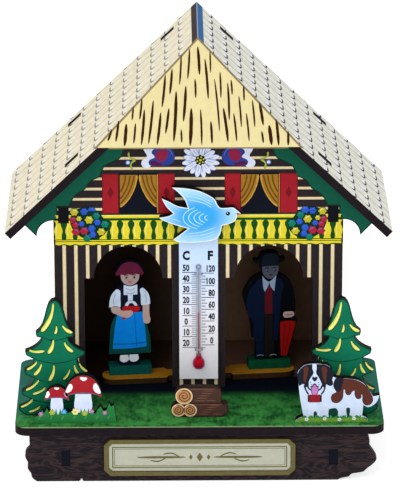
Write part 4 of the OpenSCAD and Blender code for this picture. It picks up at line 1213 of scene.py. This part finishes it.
# Outline of the bird from its middle, and the height of its middle
BIRD = [
    (-10.2, 11.6, 1), (-5, 11.2), (0, 10.2), (4, 8.3), (6.3, 6.6), (7.3, 4.4), (8.6, 3.2), (11, 3.2),
    (13.3, 3.3), (14.7, 2.3), (16.3, 0.9, 1), (14.8, 0.2, 1), (14.3, -1.8), (12.6, -3), (9, -4.1, 1),
    (8.6, -6.4), (7.4, -9), (4.4, -10.3), (-1.5, -10.9), (-7.6, -10.7), (-9.7, -9.6, 1), (-6.9, -7.5),
    (-4, -5.2, 1), (-8.9, -3.7), (-13.6, -1.8), (-15.1, -0.7, 1), (-11.6, -0.1), (-9.6, 1, 1),
    (-12.2, 3.6), (-14.1, 7.1, 1), (-11.3, 5.8), (-8, 4), (-4, 3.2, 1), (-5.5, 7), (-8, 9.8)]
BIRD_Z = 73.0
TAIL_LINES = [[(-13, -0.9), (-10, -1.2), (-7, -2.4)], [(-12.6, 5.6), (-10, 4), (-7.6, 2.4)]]


class HOUSE_OT_bird(bpy.types.Operator):
    """Prints the bird"""
    bl_idname = "weather_house.bird"
    bl_label = "Bird"

    def execute(self, context):
        work = Print("bird_print", "house", on_face("bird", 0.0, BIRD_Z))
        work.fill(0, bird_field(), BIRD, grow=-0.35)
        turns = (2.2, 2.6, 3.0, 3.4, 3.8, 4.2)
        breast = [[(5.0 + 1.3 * r * math.cos(a), -0.8 + 0.62 * r * math.sin(a)) for a in turns]
                  for r in (2.0, 3.6, 5.2, 6.8, 8.4)]
        wings = []
        for k in range(3):
            wings.append([(-6.4 + 1.2 * k, 9.6 - 1.5 * k), (-2.0 + k, 9.2 - 1.7 * k),
                          (1.6 + 0.6 * k, 7.6 - 1.4 * k), (5.0, 5.6 - 1.1 * k)])
            wings.append([(-6.6 + 1.4 * k, -9.6 + 1.2 * k), (-1.6 + k, -9.4 + 1.3 * k),
                          (3.0, -8.8 + 1.4 * k), (6.6, -7.4 + 1.3 * k)])
        feathers = strokes(breast, 0.42, 0.12) + strokes(wings, 0.4, 0.12) + strokes(TAIL_LINES, 0.26, 0.1)
        work.lay(((1, "feather", *feathers), (1, "ink", oval(11.3, 0.9, 0.8)),
                  (2, "spot", oval(11.1, 1.15, 0.2, count=6)),
                  (1, "blush", [(14.9, 0.15, 1), (16.1, 0.8, 1), (14.6, 1.0)])))
        return work.finish()


# Prints on the trees, the mushrooms, the dog and the logs

# Axes of the trees, the mushrooms and the dog
TREES = {"tree_left": -55.2, "tree_right": 54.5}
MUSHROOMS_X, DOG_X = -47.6, 52.6
BRANCH_SWAY = 0.09
# Light strokes on a tree: both ends and the width
BRANCHES = [
    (-0.4, 46.2, -5, 34.8, 1.6), (0.6, 37, 0.1, 33.8, 0.9), (3, 37.1, 6.5, 34.2, 1.35),
    (-0.6, 31.3, -2.6, 25.8, 1.5), (3.6, 30.2, 6.7, 26.4, 1.35), (-9.9, 27.2, -4.3, 26.7, 1.05),
    (-7.1, 22.4, -10.9, 19.1, 1), (-5.3, 21.4, -8.1, 16.9, 1.2), (-0.5, 20.9, -2.4, 14.5, 1.25),
    (5.5, 19.1, 3.1, 15, 0.9), (7.3, 20.9, 9, 17, 1.15), (9.2, 21.6, 12.1, 18.2, 1),
    (-6.4, 14.9, -11.4, 10.6, 0.9), (-3.9, 11.8, -8.7, 9, 0.9), (-8.9, 6.9, -13.5, 3.6, 0.85),
    (-6.2, 3.9, -10.4, 1.6, 0.85), (9.4, 12.6, 12.6, 10.4, 0.85)]
TIERS = [
    [(-4.6, 32.2), (0, 31), (4.6, 32.2)], [(-8, 23.4), (0, 21.6), (8, 23.4)],
    [(-8, 15.6), (0, 13.4), (8, 15.6)], [(-9.4, 6.8), (0, 5), (9.4, 6.8)]]


class HOUSE_OT_trees(bpy.types.Operator):
    """Prints the branches of the two trees"""
    bl_idname = "weather_house.trees"
    bl_label = "Trees"

    def execute(self, context):
        material = fir_field()
        dark, light, pale = strokes(TIERS, 0.3, 0.1), [], []
        for x0, z0, x1, z1, wide in BRANCHES:
            sway = BRANCH_SWAY if x1 < x0 else -BRANCH_SWAY
            dark.append(comma(x0, z0 + 0.3, x1, z1 - 0.3, wide + 0.5, sway))
            light.append(comma(x0, z0, x1, z1, wide, sway))
            pale.append(comma(x0 + 0.08, z0 - 0.5, x1 + 0.22, z1 + 0.1, 0.4 * wide, sway))
        layers = ((1, "fir_dark", dark), (2, "fir_light", light), (3, "rail_light", pale))
        for node, axis in TREES.items():
            work = Print(node + "_print", "house", on_face(node, axis))
            work.field(node, material)
            for layer, tone, shapes in layers:
                work.fill(layer, tone, *shapes, detail=3)
            work.finish()
        return {"FINISHED"}


# Each mushroom: middle, radius and rim of the cap, its height, and half the stem's width
MUSHROOMS = ((-7.0, 4.7, 9.6, 5.4, 2.3), (3.1, 7.0, 11.0, 8.6, 3.2))
CAP_SPOTS = [
    [(-1.8, 16.2), (-1, 15.5), (-1.1, 13.9), (-2.4, 12.7), (-3.5, 12.7), (-3.1, 14.2), (-2.5, 15.4)],
    [(7.8, 16.4), (7, 15.2), (7.2, 13.6), (8.5, 12.3), (9.7, 12.3), (9.4, 13.9), (8.6, 15.6)],
    [(2, 18.7), (2.5, 17.8), (3.4, 17.4), (4.2, 17.7), (4.7, 18.5), (3.4, 18.9)],
    [(-10.3, 13.2), (-9.7, 12.4), (-9.8, 11.4), (-10.7, 10.5), (-11.3, 10.6), (-11.1, 11.8)],
    [(-7.9, 14.5), (-7.3, 13.9), (-6.5, 13.9), (-6, 14.4), (-7, 14.7)]]
BANK = [
    (-15.6, 0.1, 1), (-15.2, 2.3), (-12.8, 3.4), (-10, 3.8), (-6, 3.6), (-1.4, 4), (3.4, 4.2), (7.8, 3.6),
    (10.6, 4.6), (14.4, 5), (15.6, 0.1, 1)]
# Flowers in the grass: middle and radius
GRASS_FLOWERS = {
    "tendril": [(-8.9, 4.4, 1.2), (3.6, 4, 1.2)], "bird": [(-4.3, 4.7, 1.1)], "rail_light": [(0, 4.7, 1.4)],
    "tongue": [(6.4, 4.8, 0.9), (-13.2, 3.8, 1), (11.3, 4.2, 0.9)],
}


class HOUSE_OT_mushrooms(bpy.types.Operator):
    """Prints the mushrooms and their grass"""
    bl_idname = "weather_house.mushrooms"
    bl_label = "Mushrooms"

    def execute(self, context):
        work = Print("mushroom_print", "house", on_face("mushrooms", MUSHROOMS_X))
        for x, r, rim, high, foot in MUSHROOMS:
            work.fill(0, "stem", corners((x - 0.92 * foot, rim + 0.9), (x + 0.92 * foot, rim + 0.9))
                      + [(x + 0.96 * foot, 5.0), (x + 0.6 * foot, 3.8), (x - 0.6 * foot, 3.8),
                         (x - 0.96 * foot, 5.0)])
            turns = [math.radians(-4 + 188 * k / 10) for k in range(11)]
            dome = [(x + (r - 0.1) * math.cos(a), rim + (high - 0.1) * math.sin(a)) for a in turns]
            dome[0] += (1,)
            dome[-1] += (1,)
            arch = [math.pi * (1 - k / 8) for k in range(1, 8)]
            for layer, tone, lift in ((1, "gill", 0.05), (2, "cap", 0.45)):
                lip = [(x + 0.97 * r * math.cos(a), rim - 0.087 * high + (0.22 * high + lift) * math.sin(a))
                       for a in arch]
                work.fill(layer, tone, dome + lip)
        work.fill(3, "spot", *CAP_SPOTS)
        work.fill(3, "collar", stroke([(-4.1, 12.6), (-3.8, 11.4), (-3.0, 10.7)], 0.4, 0.15))
        work.fill(0, "grass", BANK)
        work.fill(1, "grass", *[corners((x - 0.55, 3.5), (x + 0.55, 3.5), (x + 0.1, 6.1))
                                for x in (-8.8, -7.4, -5.8, 0.7, 2.2, 3.5, 5.0)])
        blades = [dash(-14.0 + 4.4 * k, 1.4, -13.2 + 4.4 * k, 3.0, 0.6, 0.05) for k in range(7)]
        work.fill(1, "grass_light", *blades, detail=2)
        for tone, spots in GRASS_FLOWERS.items():
            work.fill(4, tone, *[bloom(*spot) for spot in spots])
            work.fill(5, "pollen", *[oval(x, z, 0.3 * r, count=6) for x, z, r in spots], detail=2)
        return work.finish()


DOG = {
    "head_left": [
        (-14.9, 19.6), (-13.95, 21.5), (-12.2, 23), (-9.9, 23.4, 1), (-9.8, 21.6), (-9.4, 20.2),
        (-10.5, 18.2), (-11.2, 16.4), (-11.5, 14.6), (-12.3, 15.6), (-13, 15.9), (-14.4, 15.2, 1),
        (-14.75, 17.4)],
    "head_right": [
        (-7.7, 23.4, 1), (-4.3, 23), (-2.2, 21.2), (-1.85, 19), (-2.2, 17.4), (-2.1, 15.2), (-3.4, 15.3),
        (-4.3, 15.9), (-4.9, 14.4), (-5.8, 16.2), (-6.8, 18.4), (-7.8, 20.2), (-7.6, 21.6)],
    "stripe_left": [
        (-12.8, 22.4), (-11.4, 22.7), (-11.3, 20.2), (-11.8, 17.6), (-12.4, 16.2), (-12.9, 17.4),
        (-12.8, 20)],
    "stripe_right": [
        (-5.8, 22.6), (-4.2, 22.3), (-4.1, 19.6), (-4.3, 17.2), (-4.6, 16), (-5.2, 17.4), (-5.7, 19.8)],
    "nose": [
        (-9.6, 18.3), (-9, 18.5), (-8.6, 18.2), (-8.2, 18.5), (-7.6, 18.3), (-7.9, 17.2), (-8.6, 16.6),
        (-9.3, 17.2)],
    "tongue": [
        (-9.8, 13.4), (-9.2, 14.8), (-8.6, 15.4), (-8, 14.8), (-7.3, 13.4), (-7.8, 11.4), (-8.6, 10.9),
        (-9.4, 11.4)],
    "back": [
        (-0.6, 17.6), (2.7, 17.55), (6.9, 16.95), (10.25, 15.05), (12.3, 12.2), (13.45, 9.9), (13.5, 8.2),
        (11.9, 6.8), (10.2, 7.6), (9.2, 11.4), (9, 9.8), (7.8, 9.5), (6.9, 11.1), (6.6, 12.9), (5.6, 12.4),
        (4.6, 11.1), (3.6, 11.4), (2.7, 13.5), (2.2, 11.9), (2, 9.8), (0.5, 8), (-1.2, 8), (-2.1, 9.2),
        (-1.7, 11.1), (-0.2, 12.1), (-0.4, 14.5)],
    "saddle": [(-0.6, 17.5), (2.2, 17.5), (1.8, 15.2), (1, 12.6), (-0.4, 12.6)],
}
DOG_LINES = [
    [(-11.3, 15), (-10.8, 13.7), (-9.8, 13)], [(-7.3, 13), (-6.3, 13.6), (-5.8, 15)],
    [(-10.3, 14.4), (-9.6, 14.5), (-8.6, 15.6), (-7.7, 14.5), (-7, 14.4)],
    [(-12.6, 15.2), (-11.9, 13), (-10.9, 11.2)], [(-4.6, 15.4), (-4.9, 13.2), (-6.1, 11.2)]]
DOG_GAPS = [
    [(-9, 1.8, 1), (-8.3, 4.3), (-7.5, 1.8, 1)],
    [(-3.1, 1.8, 1), (-3, 4.7), (-1.6, 5.5), (-0.1, 5.2), (0.5, 1.8, 1)],
    [(3.9, 1.8, 1), (4.3, 5.8), (4.8, 1.8, 1)]]
MEADOW = [(-15.5, 0, 1), (-15, 1), (-8, 1.6), (0, 1.4), (8, 1.6), (11.3, 1), (11.7, 0, 1)]
DAISIES = [(-11.6, 1.1), (-4.6, 1.3), (1, 0.9), (6.6, 1.3)]


class HOUSE_OT_dog(bpy.types.Operator):
    """Prints the dog and its grass"""
    bl_idname = "weather_house.dog"
    bl_label = "Dog"

    def execute(self, context):
        work = Print("dog_print", "house", on_face("dog", DOG_X))
        work.fill(0, "fur_dark", DOG["head_left"], DOG["head_right"], grow=0.3)
        work.fill(0, "fur_dark", DOG["nose"])
        work.fill(0, "fir_dark", *DOG_GAPS)
        work.fill(1, "fur_brown", DOG["stripe_left"], DOG["stripe_right"])
        work.fill(0, "fur_dark", DOG["back"], grow=0.2)
        work.fill(1, "fur_brown", DOG["back"])
        work.fill(2, "fur_dark", DOG["saddle"])
        work.fill(0, "fur_dark", DOG["tongue"], grow=0.2)
        work.fill(1, "tongue", DOG["tongue"])
        work.fill(1, "fur_dark", *strokes(DOG_LINES, 0.5, 0.25))
        freckles = ((-10.2, 16.2), (-9.9, 15.3), (-7.2, 16.2), (-7.0, 15.3))
        work.fill(1, "fur_dark", *[oval(x, z, 0.2, count=6) for x, z in freckles], detail=2)
        work.fill(1, "heart", oblong(-11.2, 8.2, -5.9, 11.0))
        work.fill(2, "tag", oblong(-10.6, 8.0, -6.5, 11.2))
        waves = [(-12.4 + 1.25 * k, 2.6 - 0.8 * (k % 2)) for k in range(18)]
        work.fill(2, "grass", [(-15.6, 0.0, 1), (-15.2, 1.0), (-13.6, 1.7)] + waves
                  + [(11.4, 1.4), (11.8, 0.0, 1)])
        work.fill(3, "meadow", MEADOW)
        blades = [dash(-12.2 + 1.9 * k, 0.9, -11.8 + 1.9 * k, 2.2 + 0.3 * (k % 3), 0.5) for k in range(12)]
        work.fill(4, "grass_light", *blades, detail=2)
        work.fill(6, "pollen", *[oval(x, z, 0.25, count=6) for x, z in DAISIES], detail=2)
        work.fill(5, "spot", *[bloom(x, z, 0.8, 5) for x, z in DAISIES])
        return work.finish()


# Cut ends of the logs: middle and radius
LOGS = [(-8.1, 2.9, 2.9), (-3.6, 2.9, 2.9), (-5.9, 8.7, 3.6)]
LOG_SIDES = [
    [(-3, 0.4, 1), (8.4, 0.4, 1), (10.4, 1.9), (10.4, 3.9), (8.6, 5.4, 1), (-3, 5.4, 1)],
    [(-3.6, 5.9, 1), (8.1, 5.9, 1), (8.2, 8), (7.7, 11), (5.5, 11.9, 1), (-5, 11.9, 1)]]


class HOUSE_OT_logs(bpy.types.Operator):
    """Prints the cut ends and the grain of the logs"""
    bl_idname = "weather_house.logs"
    bl_label = "Logs"

    def execute(self, context):
        work = Print("log_print", "house", on_face("log_pile"))
        work.fill(0, "log_side", *LOG_SIDES)
        grain = [dash(-0.5 + 1.1 * k, 1.2 + 0.9 * (k % 5), 3.4 + 1.1 * k, 1.1 + 0.9 * (k % 5), 0.3, 0.02)
                 for k in range(6)]
        grain += [dash(-2.0 + 0.9 * k, 6.8 + k % 5, 2.4 + 0.8 * k, 6.7 + k % 5, 0.3, 0.02) for k in range(6)]
        grain += [dash(-4.6, 11.6, 6.0, 11.6, 0.35), dash(-2.0, 5.2, 8.8, 5.2, 0.35)]
        work.fill(1, "log_light", *grain, detail=2)
        for layer, tone, inset in ((2, "burnt", 0.0), (3, "log_rim", 0.3), (4, "log_end", 0.75)):
            work.fill(layer, tone, *[oval(x, z, r - inset) for x, z, r in LOGS])
        coils = []
        for x, z, r in LOGS:
            turns = [(0.8 + 0.72 * k, r * (0.08 + 0.034 * k)) for k in range(20)]
            coils.append([(x + reach * math.cos(a), z + reach * math.sin(a)) for a, reach in turns])
        work.fill(5, "log_side", *strokes(coils, 0.34, 0.2), detail=3)
        return work.finish()


# Prints on the figures

# Axes of the figures from the beam's axle, depth of their faces behind it, and height of their feet
WOMAN_X, MAN_X = -27.0, 28.2
FACE_Y, FOOT_Z = 0.6, 6.4


def figure_place(x):
    """Place of a print on a figure's face, from the figure's axis and the top of its stand."""
    axle = frame["bodies"]["beam"].matrix_world.translation
    turn = Matrix.Rotation(sizes().beam_turn, 4, "Z")
    spot = Matrix.Translation(Vector((x, FACE_Y, FOOT_Z)) * MM)
    return upright((axle.x, axle.y, WALL.z), turn @ spot @ Matrix.Rotation(math.pi / 2, 4, "X"))


def doll_face(work, x, z, wide, brow, lips):
    """A plain doll's face: two round eyes, soft brows and a small mouth."""
    eyes = [x + side * 0.24 * wide for side in (-1, 1)]
    work.fill(5, "bodice", *[oval(eye, z, 0.45, 0.5) for eye in eyes])
    work.fill(6, "blouse", *[oval(eye - 0.15, z + 0.18, 0.14, count=6) for eye in eyes], detail=2)
    brows = [stroke([(x + side * 0.1 * wide, z + 0.9), (eye, z + 1.1), (x + side * 0.38 * wide, z + 0.85)],
                    0.26, 0.12) for side, eye in zip((-1, 1), eyes)]
    work.fill(5, brow, *brows)
    work.fill(5, lips, oval(x, z - 1.9, 0.7, 0.28))


# Patches of each figure: layer, ink and outlines
WOMAN = (
    (0, "skirt", [(-5, 22, 1), (-6.7, 19.6), (-8, 10.2), (-8.2, 5.4, 1), (8.2, 5.4, 1), (8, 11.3),
     (6.6, 17.6), (4.9, 22.8, 1)]),
    (1, "apron", [(-4.9, 22, 1), (4.9, 22.8, 1), (5.7, 18.3), (6.6, 8.1, 1), (0, 7.5), (-6.8, 7.6, 1),
     (-5.9, 16.5)]),
    (2, "apron_line", stroke([(-6.5, 9.6), (0, 9.4), (6.2, 9.9)], 0.3, 0.2),
     stroke([(1.9, 22), (2.3, 15), (2.6, 8.4)], 0.2, 0.1)),
    (1, "bodice", [(-4.2, 33, 1), (4.5, 33, 1), (4.8, 28), (5, 23, 1), (-3, 23, 1), (-4, 28)]),
    (2, "blouse", [(-4.4, 32.5), (-6.3, 31.4), (-7.6, 28.9), (-8.1, 25.1, 1), (-5.8, 25.5),
     (-3.6, 25.1, 1), (-3.6, 28.4)],
     [(4.6, 32.7), (6.6, 31.4), (7.7, 29.4), (8.1, 25.9, 1), (6.3, 25.4), (4.5, 25.6, 1), (4.4, 29.4)],
     [(-2.3, 34.2, 1), (0.4, 33.6), (3, 34.2, 1), (3.1, 30.1, 1), (1.3, 30, 1), (1.2, 27.4, 1),
     (-0.6, 27.4, 1), (-0.7, 30, 1), (-2.3, 30.1, 1)],
     [(-1.9, 24.8, 1), (-1.5, 26.6), (0.5, 27.6), (2.5, 26.6), (3.2, 24.8, 1)]),
    (3, "bodice", [(-0.8, 24.8, 1), (-0.2, 26.2), (0.6, 26.6), (1.4, 26.2), (2.2, 24.8, 1)]),
    (3, "collar", *strokes([[(-1.6, 33), (0.4, 32), (2.4, 33)], [(-1.4, 31.2), (0.4, 30.4),
     (2.2, 31.2)], [(-5.4, 31), (-6.2, 28.6), (-6.4, 26.2)], [(5.9, 31.4), (6.5, 29), (6.4, 26.6)]],
     0.26, 0.1)),
    (4, "belt", [(-2.7, 25), (0.5, 25.3), (3.9, 24.8), (3.5, 23.2), (1.2, 22.7), (-2.5, 23.4)],
     oval(-2.2, 20.7, 0.8, 0.9)),
    (5, "skin", [(-7.4, 25.3, 1), (-7, 23.2), (-4.9, 21.9), (-1.9, 20.6), (-0.2, 20.7), (1.2, 22.2),
     (0.9, 23.3), (-0.8, 23.5), (-3.2, 23.7), (-3.9, 25.2, 1)],
     [(5.1, 25.5, 1), (7.7, 25.6, 1), (7.8, 21.1), (8.1, 19.6), (7.6, 18), (5.7, 18.1), (5.2, 20.1)]),
    # The face carries painted shade from the hat
    (1, "face", [(-3.5, 38.7, 1), (0.3, 39.4), (4, 38.7, 1), (3.4, 35.9), (1.7, 34.3), (0.2, 33.9),
     (-1.3, 34.3), (-2.9, 35.9)]),
    (4, "hat", [(-5.3, 38.4), (-4.7, 40.4), (-3.1, 42.6), (-1.6, 43.5), (0.2, 43.8), (2.6, 43.1),
     (4.3, 41.4), (5.1, 40), (5.4, 38.5), (3.9, 38.4), (2.4, 38.7), (0.9, 38.4), (-0.6, 38.7),
     (-2.1, 38.4), (-3.6, 38.6)]),
    (5, "maroon", *strokes([[(-3.6, 39.2), (-3, 41), (-1.8, 42.4)], [(-0.6, 39.3), (-0.4, 41.2),
     (0, 42.9)], [(2.4, 39.3), (2.4, 41), (1.8, 42.5)]], 0.3, 0.1)))
SOCKS = [
    [(-3.9, 4.8, 1), (-0.7, 4.8, 1), (-0.8, 2.3), (-3.8, 2.3)],
    [(-0.2, 4.9, 1), (3.2, 4.9, 1), (3.1, 2.4), (-0.1, 2.4)]]


class HOUSE_OT_woman(bpy.types.Operator):
    """Prints the woman's dress and face"""
    bl_idname = "weather_house.woman"
    bl_label = "Woman"

    def execute(self, context):
        work = Print("woman_print", "beam", figure_place(WOMAN_X))
        work.lay(WOMAN)
        doll_face(work, 0.3, 37.3, 6.4, "fur_brown", "blush")
        work.fill(1, "sock", *SOCKS)
        return work.finish()


# The man's coat and hat carry painted shade over their navy
MAN = (
    (0, "coat_front", [(-3.4, 34.4), (-6, 32.4), (-8.4, 28.6), (-9.2, 24.4), (-8.2, 19.4), (-6.4, 16),
     (-6.2, 9), (-4.8, 7.4, 1), (-2.2, 8, 1), (-2, 27.4, 1)],
     [(3, 34.4), (5, 33.4), (4.6, 26), (3.8, 14), (3.4, 8, 1), (1.3, 8.4, 1), (1.3, 27.6, 1)]),
    (0, "trousers", oblong(-1.9, 1.4, 1.9, 19.8)),
    (1, "coat_front", [(-5.4, 1.4, 1), (-5.2, 7.2, 1), (-2.2, 7.6, 1), (-2.2, 1.4, 1)]),
    (2, "collar", *strokes([[(-5, 1.9), (-3.4, 2.3), (-2.2, 1.9)], [(0.2, 1.9), (1.8, 2.3), (3, 1.9)]],
     0.2, 0.1)),
    (0, "hat_blue", [(-3.2, 39.8, 1), (-3.1, 42.4), (-2.3, 44.2), (0.5, 44.8), (2.7, 44.2), (3.6, 42),
     (3.7, 40, 1), (0.4, 39.6)]),
    (1, "shaded_skin", [(-3, 39.4, 1), (0.4, 39.6), (3.6, 39.6, 1), (3.3, 37), (2.5, 35.2), (0.3, 34.2),
     (-1.8, 35.2), (-2.7, 37)]),
    (1, "skin", [(5.6, 19.7), (7.6, 20.2), (9.6, 19.8), (9.7, 18.4), (7.7, 17.6), (5.8, 17.9)]),
    (2, "coat", stroke([(6.4, 18.9), (7.8, 18.7), (9.2, 18.9)], 0.22, 0.1)),
    (1, "vest", [(-0.2, 31.9, 1), (-1.9, 28.6, 1), (-1.9, 19.6, 1), (1.2, 19.6, 1), (1.2, 28.9, 1)]),
    (2, "collar", [(-2.8, 35.6, 1), (-1.5, 33.8), (-0.2, 33, 1), (-0.5, 31.5), (-1.9, 28.9, 1),
     (-2.4, 30.4), (-2.7, 33)],
     [(2.6, 35.6, 1), (1, 33.8), (-0.2, 33, 1), (0.5, 30.9), (1.9, 28.9, 1), (2.2, 32)]),
    (1, "umbrella", [(4.3, 15.8, 1), (7.4, 16.3), (10.5, 15.8, 1), (9.2, 10.2), (7, 1.6, 1),
     (4.7, 1.6, 1), (4.4, 9)]),
    (2, "vest", *strokes([[(6.2, 15.6), (5.8, 9), (5.4, 2.4)], [(8.4, 15.6), (7.4, 9), (6.2, 2.4)]],
     0.3, 0.1)))


class HOUSE_OT_man(bpy.types.Operator):
    """Prints the man's coat, face and umbrella"""
    bl_idname = "weather_house.man"
    bl_label = "Man"

    def execute(self, context):
        work = Print("man_print", "beam", figure_place(MAN_X))
        work.lay(MAN)
        doll_face(work, 0.4, 37.8, 6.0, "coat", "vest")
        return work.finish()


# Scroll lines of the border, on one side
CURLS = [[(8, 0.3), (11, 1.7), (14, 1.2)], [(13, -0.3), (16, -1.7), (19, -1.2)]]


class HOUSE_OT_name_plate(bpy.types.Operator):
    """Draws the plain border on the bare name plate"""
    bl_idname = "weather_house.name_plate"
    bl_label = "Name Plate"

    def execute(self, context):
        low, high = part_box("name_plate_panel")
        middle = ((low.z + high.z) / 2 - WALL.z) / MM
        wide, tall = (high.x - low.x) / MM / 2, (high.z - low.z) / MM / 2
        work = Print("name_plate_border", "house", on_face("name_plate_panel", 0.0, middle))
        for inset, thick in ((1.3, 0.4), (2.1, 0.2)):
            x, z = wide - inset, tall - inset
            work.fill(0, "frame", oblong(-x, -z, x, z), oblong(-x + thick, -z + thick, x - thick, z - thick))
        gems = [gem(x, 0.0, 1.2 * s, 1.9 * s) for x, s in ((0.0, 1.0), (-3.4, 0.6), (3.4, 0.6))]
        curls = strokes(CURLS, 0.5, 0.15)
        work.fill(0, "frame", *gems, *curls, *[mirrored(c) for c in curls])
        work.fill(1, "frame", *pair(dash(5.4, 0.0, 24.0, 0.0, 0.8)))
        return work.finish()


# What the lights are turned to
LIT_SPOT = Vector((0.0, 0.0, 0.08))


class HOUSE_OT_stage(bpy.types.Operator):
    """Adds the floor, the lights and the camera"""
    bl_idname = "weather_house.stage"
    bl_label = "Stage"

    def execute(self, context):
        scene = context.scene
        setup = scene.house_stage
        bpy.ops.object.select_all(action="DESELECT")
        bpy.ops.mesh.primitive_plane_add(size=setup.floor_w, location=(0.0, 0.0, 0.0))
        floor = bpy.context.object
        floor.name = "studio_floor"
        material, g, shader = new_finish("studio_paper")
        paint(g, shader, ink_over(g, "floor", 0.01)["Colour"], 0.8)
        shader.inputs["Emission Color"].default_value = (1.0, 1.0, 1.0, 1.0)
        shader.inputs["Emission Strength"].default_value = setup.glow
        floor.data.materials.append(material)
        for name, spot, size, power in (("key_light", (-0.5, -0.9, 1.1), 0.9, setup.key),
                                        ("fill_light", (0.25, -1.6, 0.3), 1.0, setup.fill)):
            bpy.ops.object.light_add(type="AREA", location=spot)
            lamp = bpy.context.object
            lamp.name = name
            lamp.data.size = size
            lamp.data.energy = power
            lamp.rotation_euler = (LIT_SPOT - Vector(spot)).to_track_quat("-Z", "Y").to_euler()
        world = bpy.data.worlds.new("studio_air")
        world.use_nodes = True
        air = world.node_tree.nodes["Background"]
        air.inputs["Color"].default_value = (0.97, 0.98, 1.0, 1.0)
        air.inputs["Strength"].default_value = setup.sky
        scene.world = world
        ahead = Vector((math.sin(setup.yaw) * math.cos(setup.pitch),
                        math.cos(setup.yaw) * math.cos(setup.pitch), -math.sin(setup.pitch)))
        right = Vector((math.cos(setup.yaw), -math.sin(setup.yaw), 0.0))
        up = right.cross(ahead)
        right, up = (right * math.cos(setup.roll) + up * math.sin(setup.roll),
                     up * math.cos(setup.roll) - right * math.sin(setup.roll))
        bpy.ops.object.camera_add(location=tuple(setup.eye))
        camera = bpy.context.object
        camera.rotation_euler = Matrix((right, up, -ahead)).transposed().to_euler()
        camera.data.lens = setup.lens
        camera.data.sensor_width = 36.0
        camera.data.clip_end = 50.0
        scene.camera = camera
        scene.view_settings.view_transform = "Standard"
        return {"FINISHED"}


class HOUSE_PT_finish(bpy.types.Panel):
    """Lists the steps of the finish"""
    bl_idname = "HOUSE_PT_finish"
    bl_label = "Weather House"
    bl_space_type = "VIEW_3D"
    bl_region_type = "UI"
    bl_category = "Weather House"

    def draw(self, context):
        for step in STEPS:
            self.layout.operator(step.bl_idname)


STEPS = (HOUSE_OT_walls, HOUSE_OT_base, HOUSE_OT_small_parts, HOUSE_OT_bargeboards, HOUSE_OT_windows,
         HOUSE_OT_balcony, HOUSE_OT_flowers, HOUSE_OT_straws, HOUSE_OT_scale, HOUSE_OT_bird,
         HOUSE_OT_trees, HOUSE_OT_mushrooms, HOUSE_OT_dog, HOUSE_OT_logs, HOUSE_OT_woman, HOUSE_OT_man,
         HOUSE_OT_name_plate, HOUSE_OT_stage)
SETTINGS = (HouseSizes, HouseColours, HouseStage)


def register():
    for cls in SETTINGS + STEPS + (HOUSE_PT_finish,):
        bpy.utils.register_class(cls)
    bpy.types.Scene.house_sizes = PointerProperty(type=HouseSizes)
    bpy.types.Scene.house_colours = PointerProperty(type=HouseColours)
    bpy.types.Scene.house_stage = PointerProperty(type=HouseStage)


def unregister():
    del bpy.types.Scene.house_stage
    del bpy.types.Scene.house_colours
    del bpy.types.Scene.house_sizes
    for cls in reversed(SETTINGS + STEPS + (HOUSE_PT_finish,)):
        bpy.utils.unregister_class(cls)


def main():
    register()
    bpy.ops.weather_house.walls()
    bpy.ops.weather_house.base()
    bpy.ops.weather_house.small_parts()
    bpy.ops.weather_house.bargeboards()
    bpy.ops.weather_house.windows()
    bpy.ops.weather_house.balcony()
    bpy.ops.weather_house.flowers()
    bpy.ops.weather_house.straws()
    bpy.ops.weather_house.scale()
    bpy.ops.weather_house.bird()
    bpy.ops.weather_house.trees()
    bpy.ops.weather_house.mushrooms()
    bpy.ops.weather_house.dog()
    bpy.ops.weather_house.logs()
    bpy.ops.weather_house.woman()
    bpy.ops.weather_house.man()
    bpy.ops.weather_house.name_plate()
    bpy.ops.weather_house.stage()


if __name__ == "__main__":
    main()
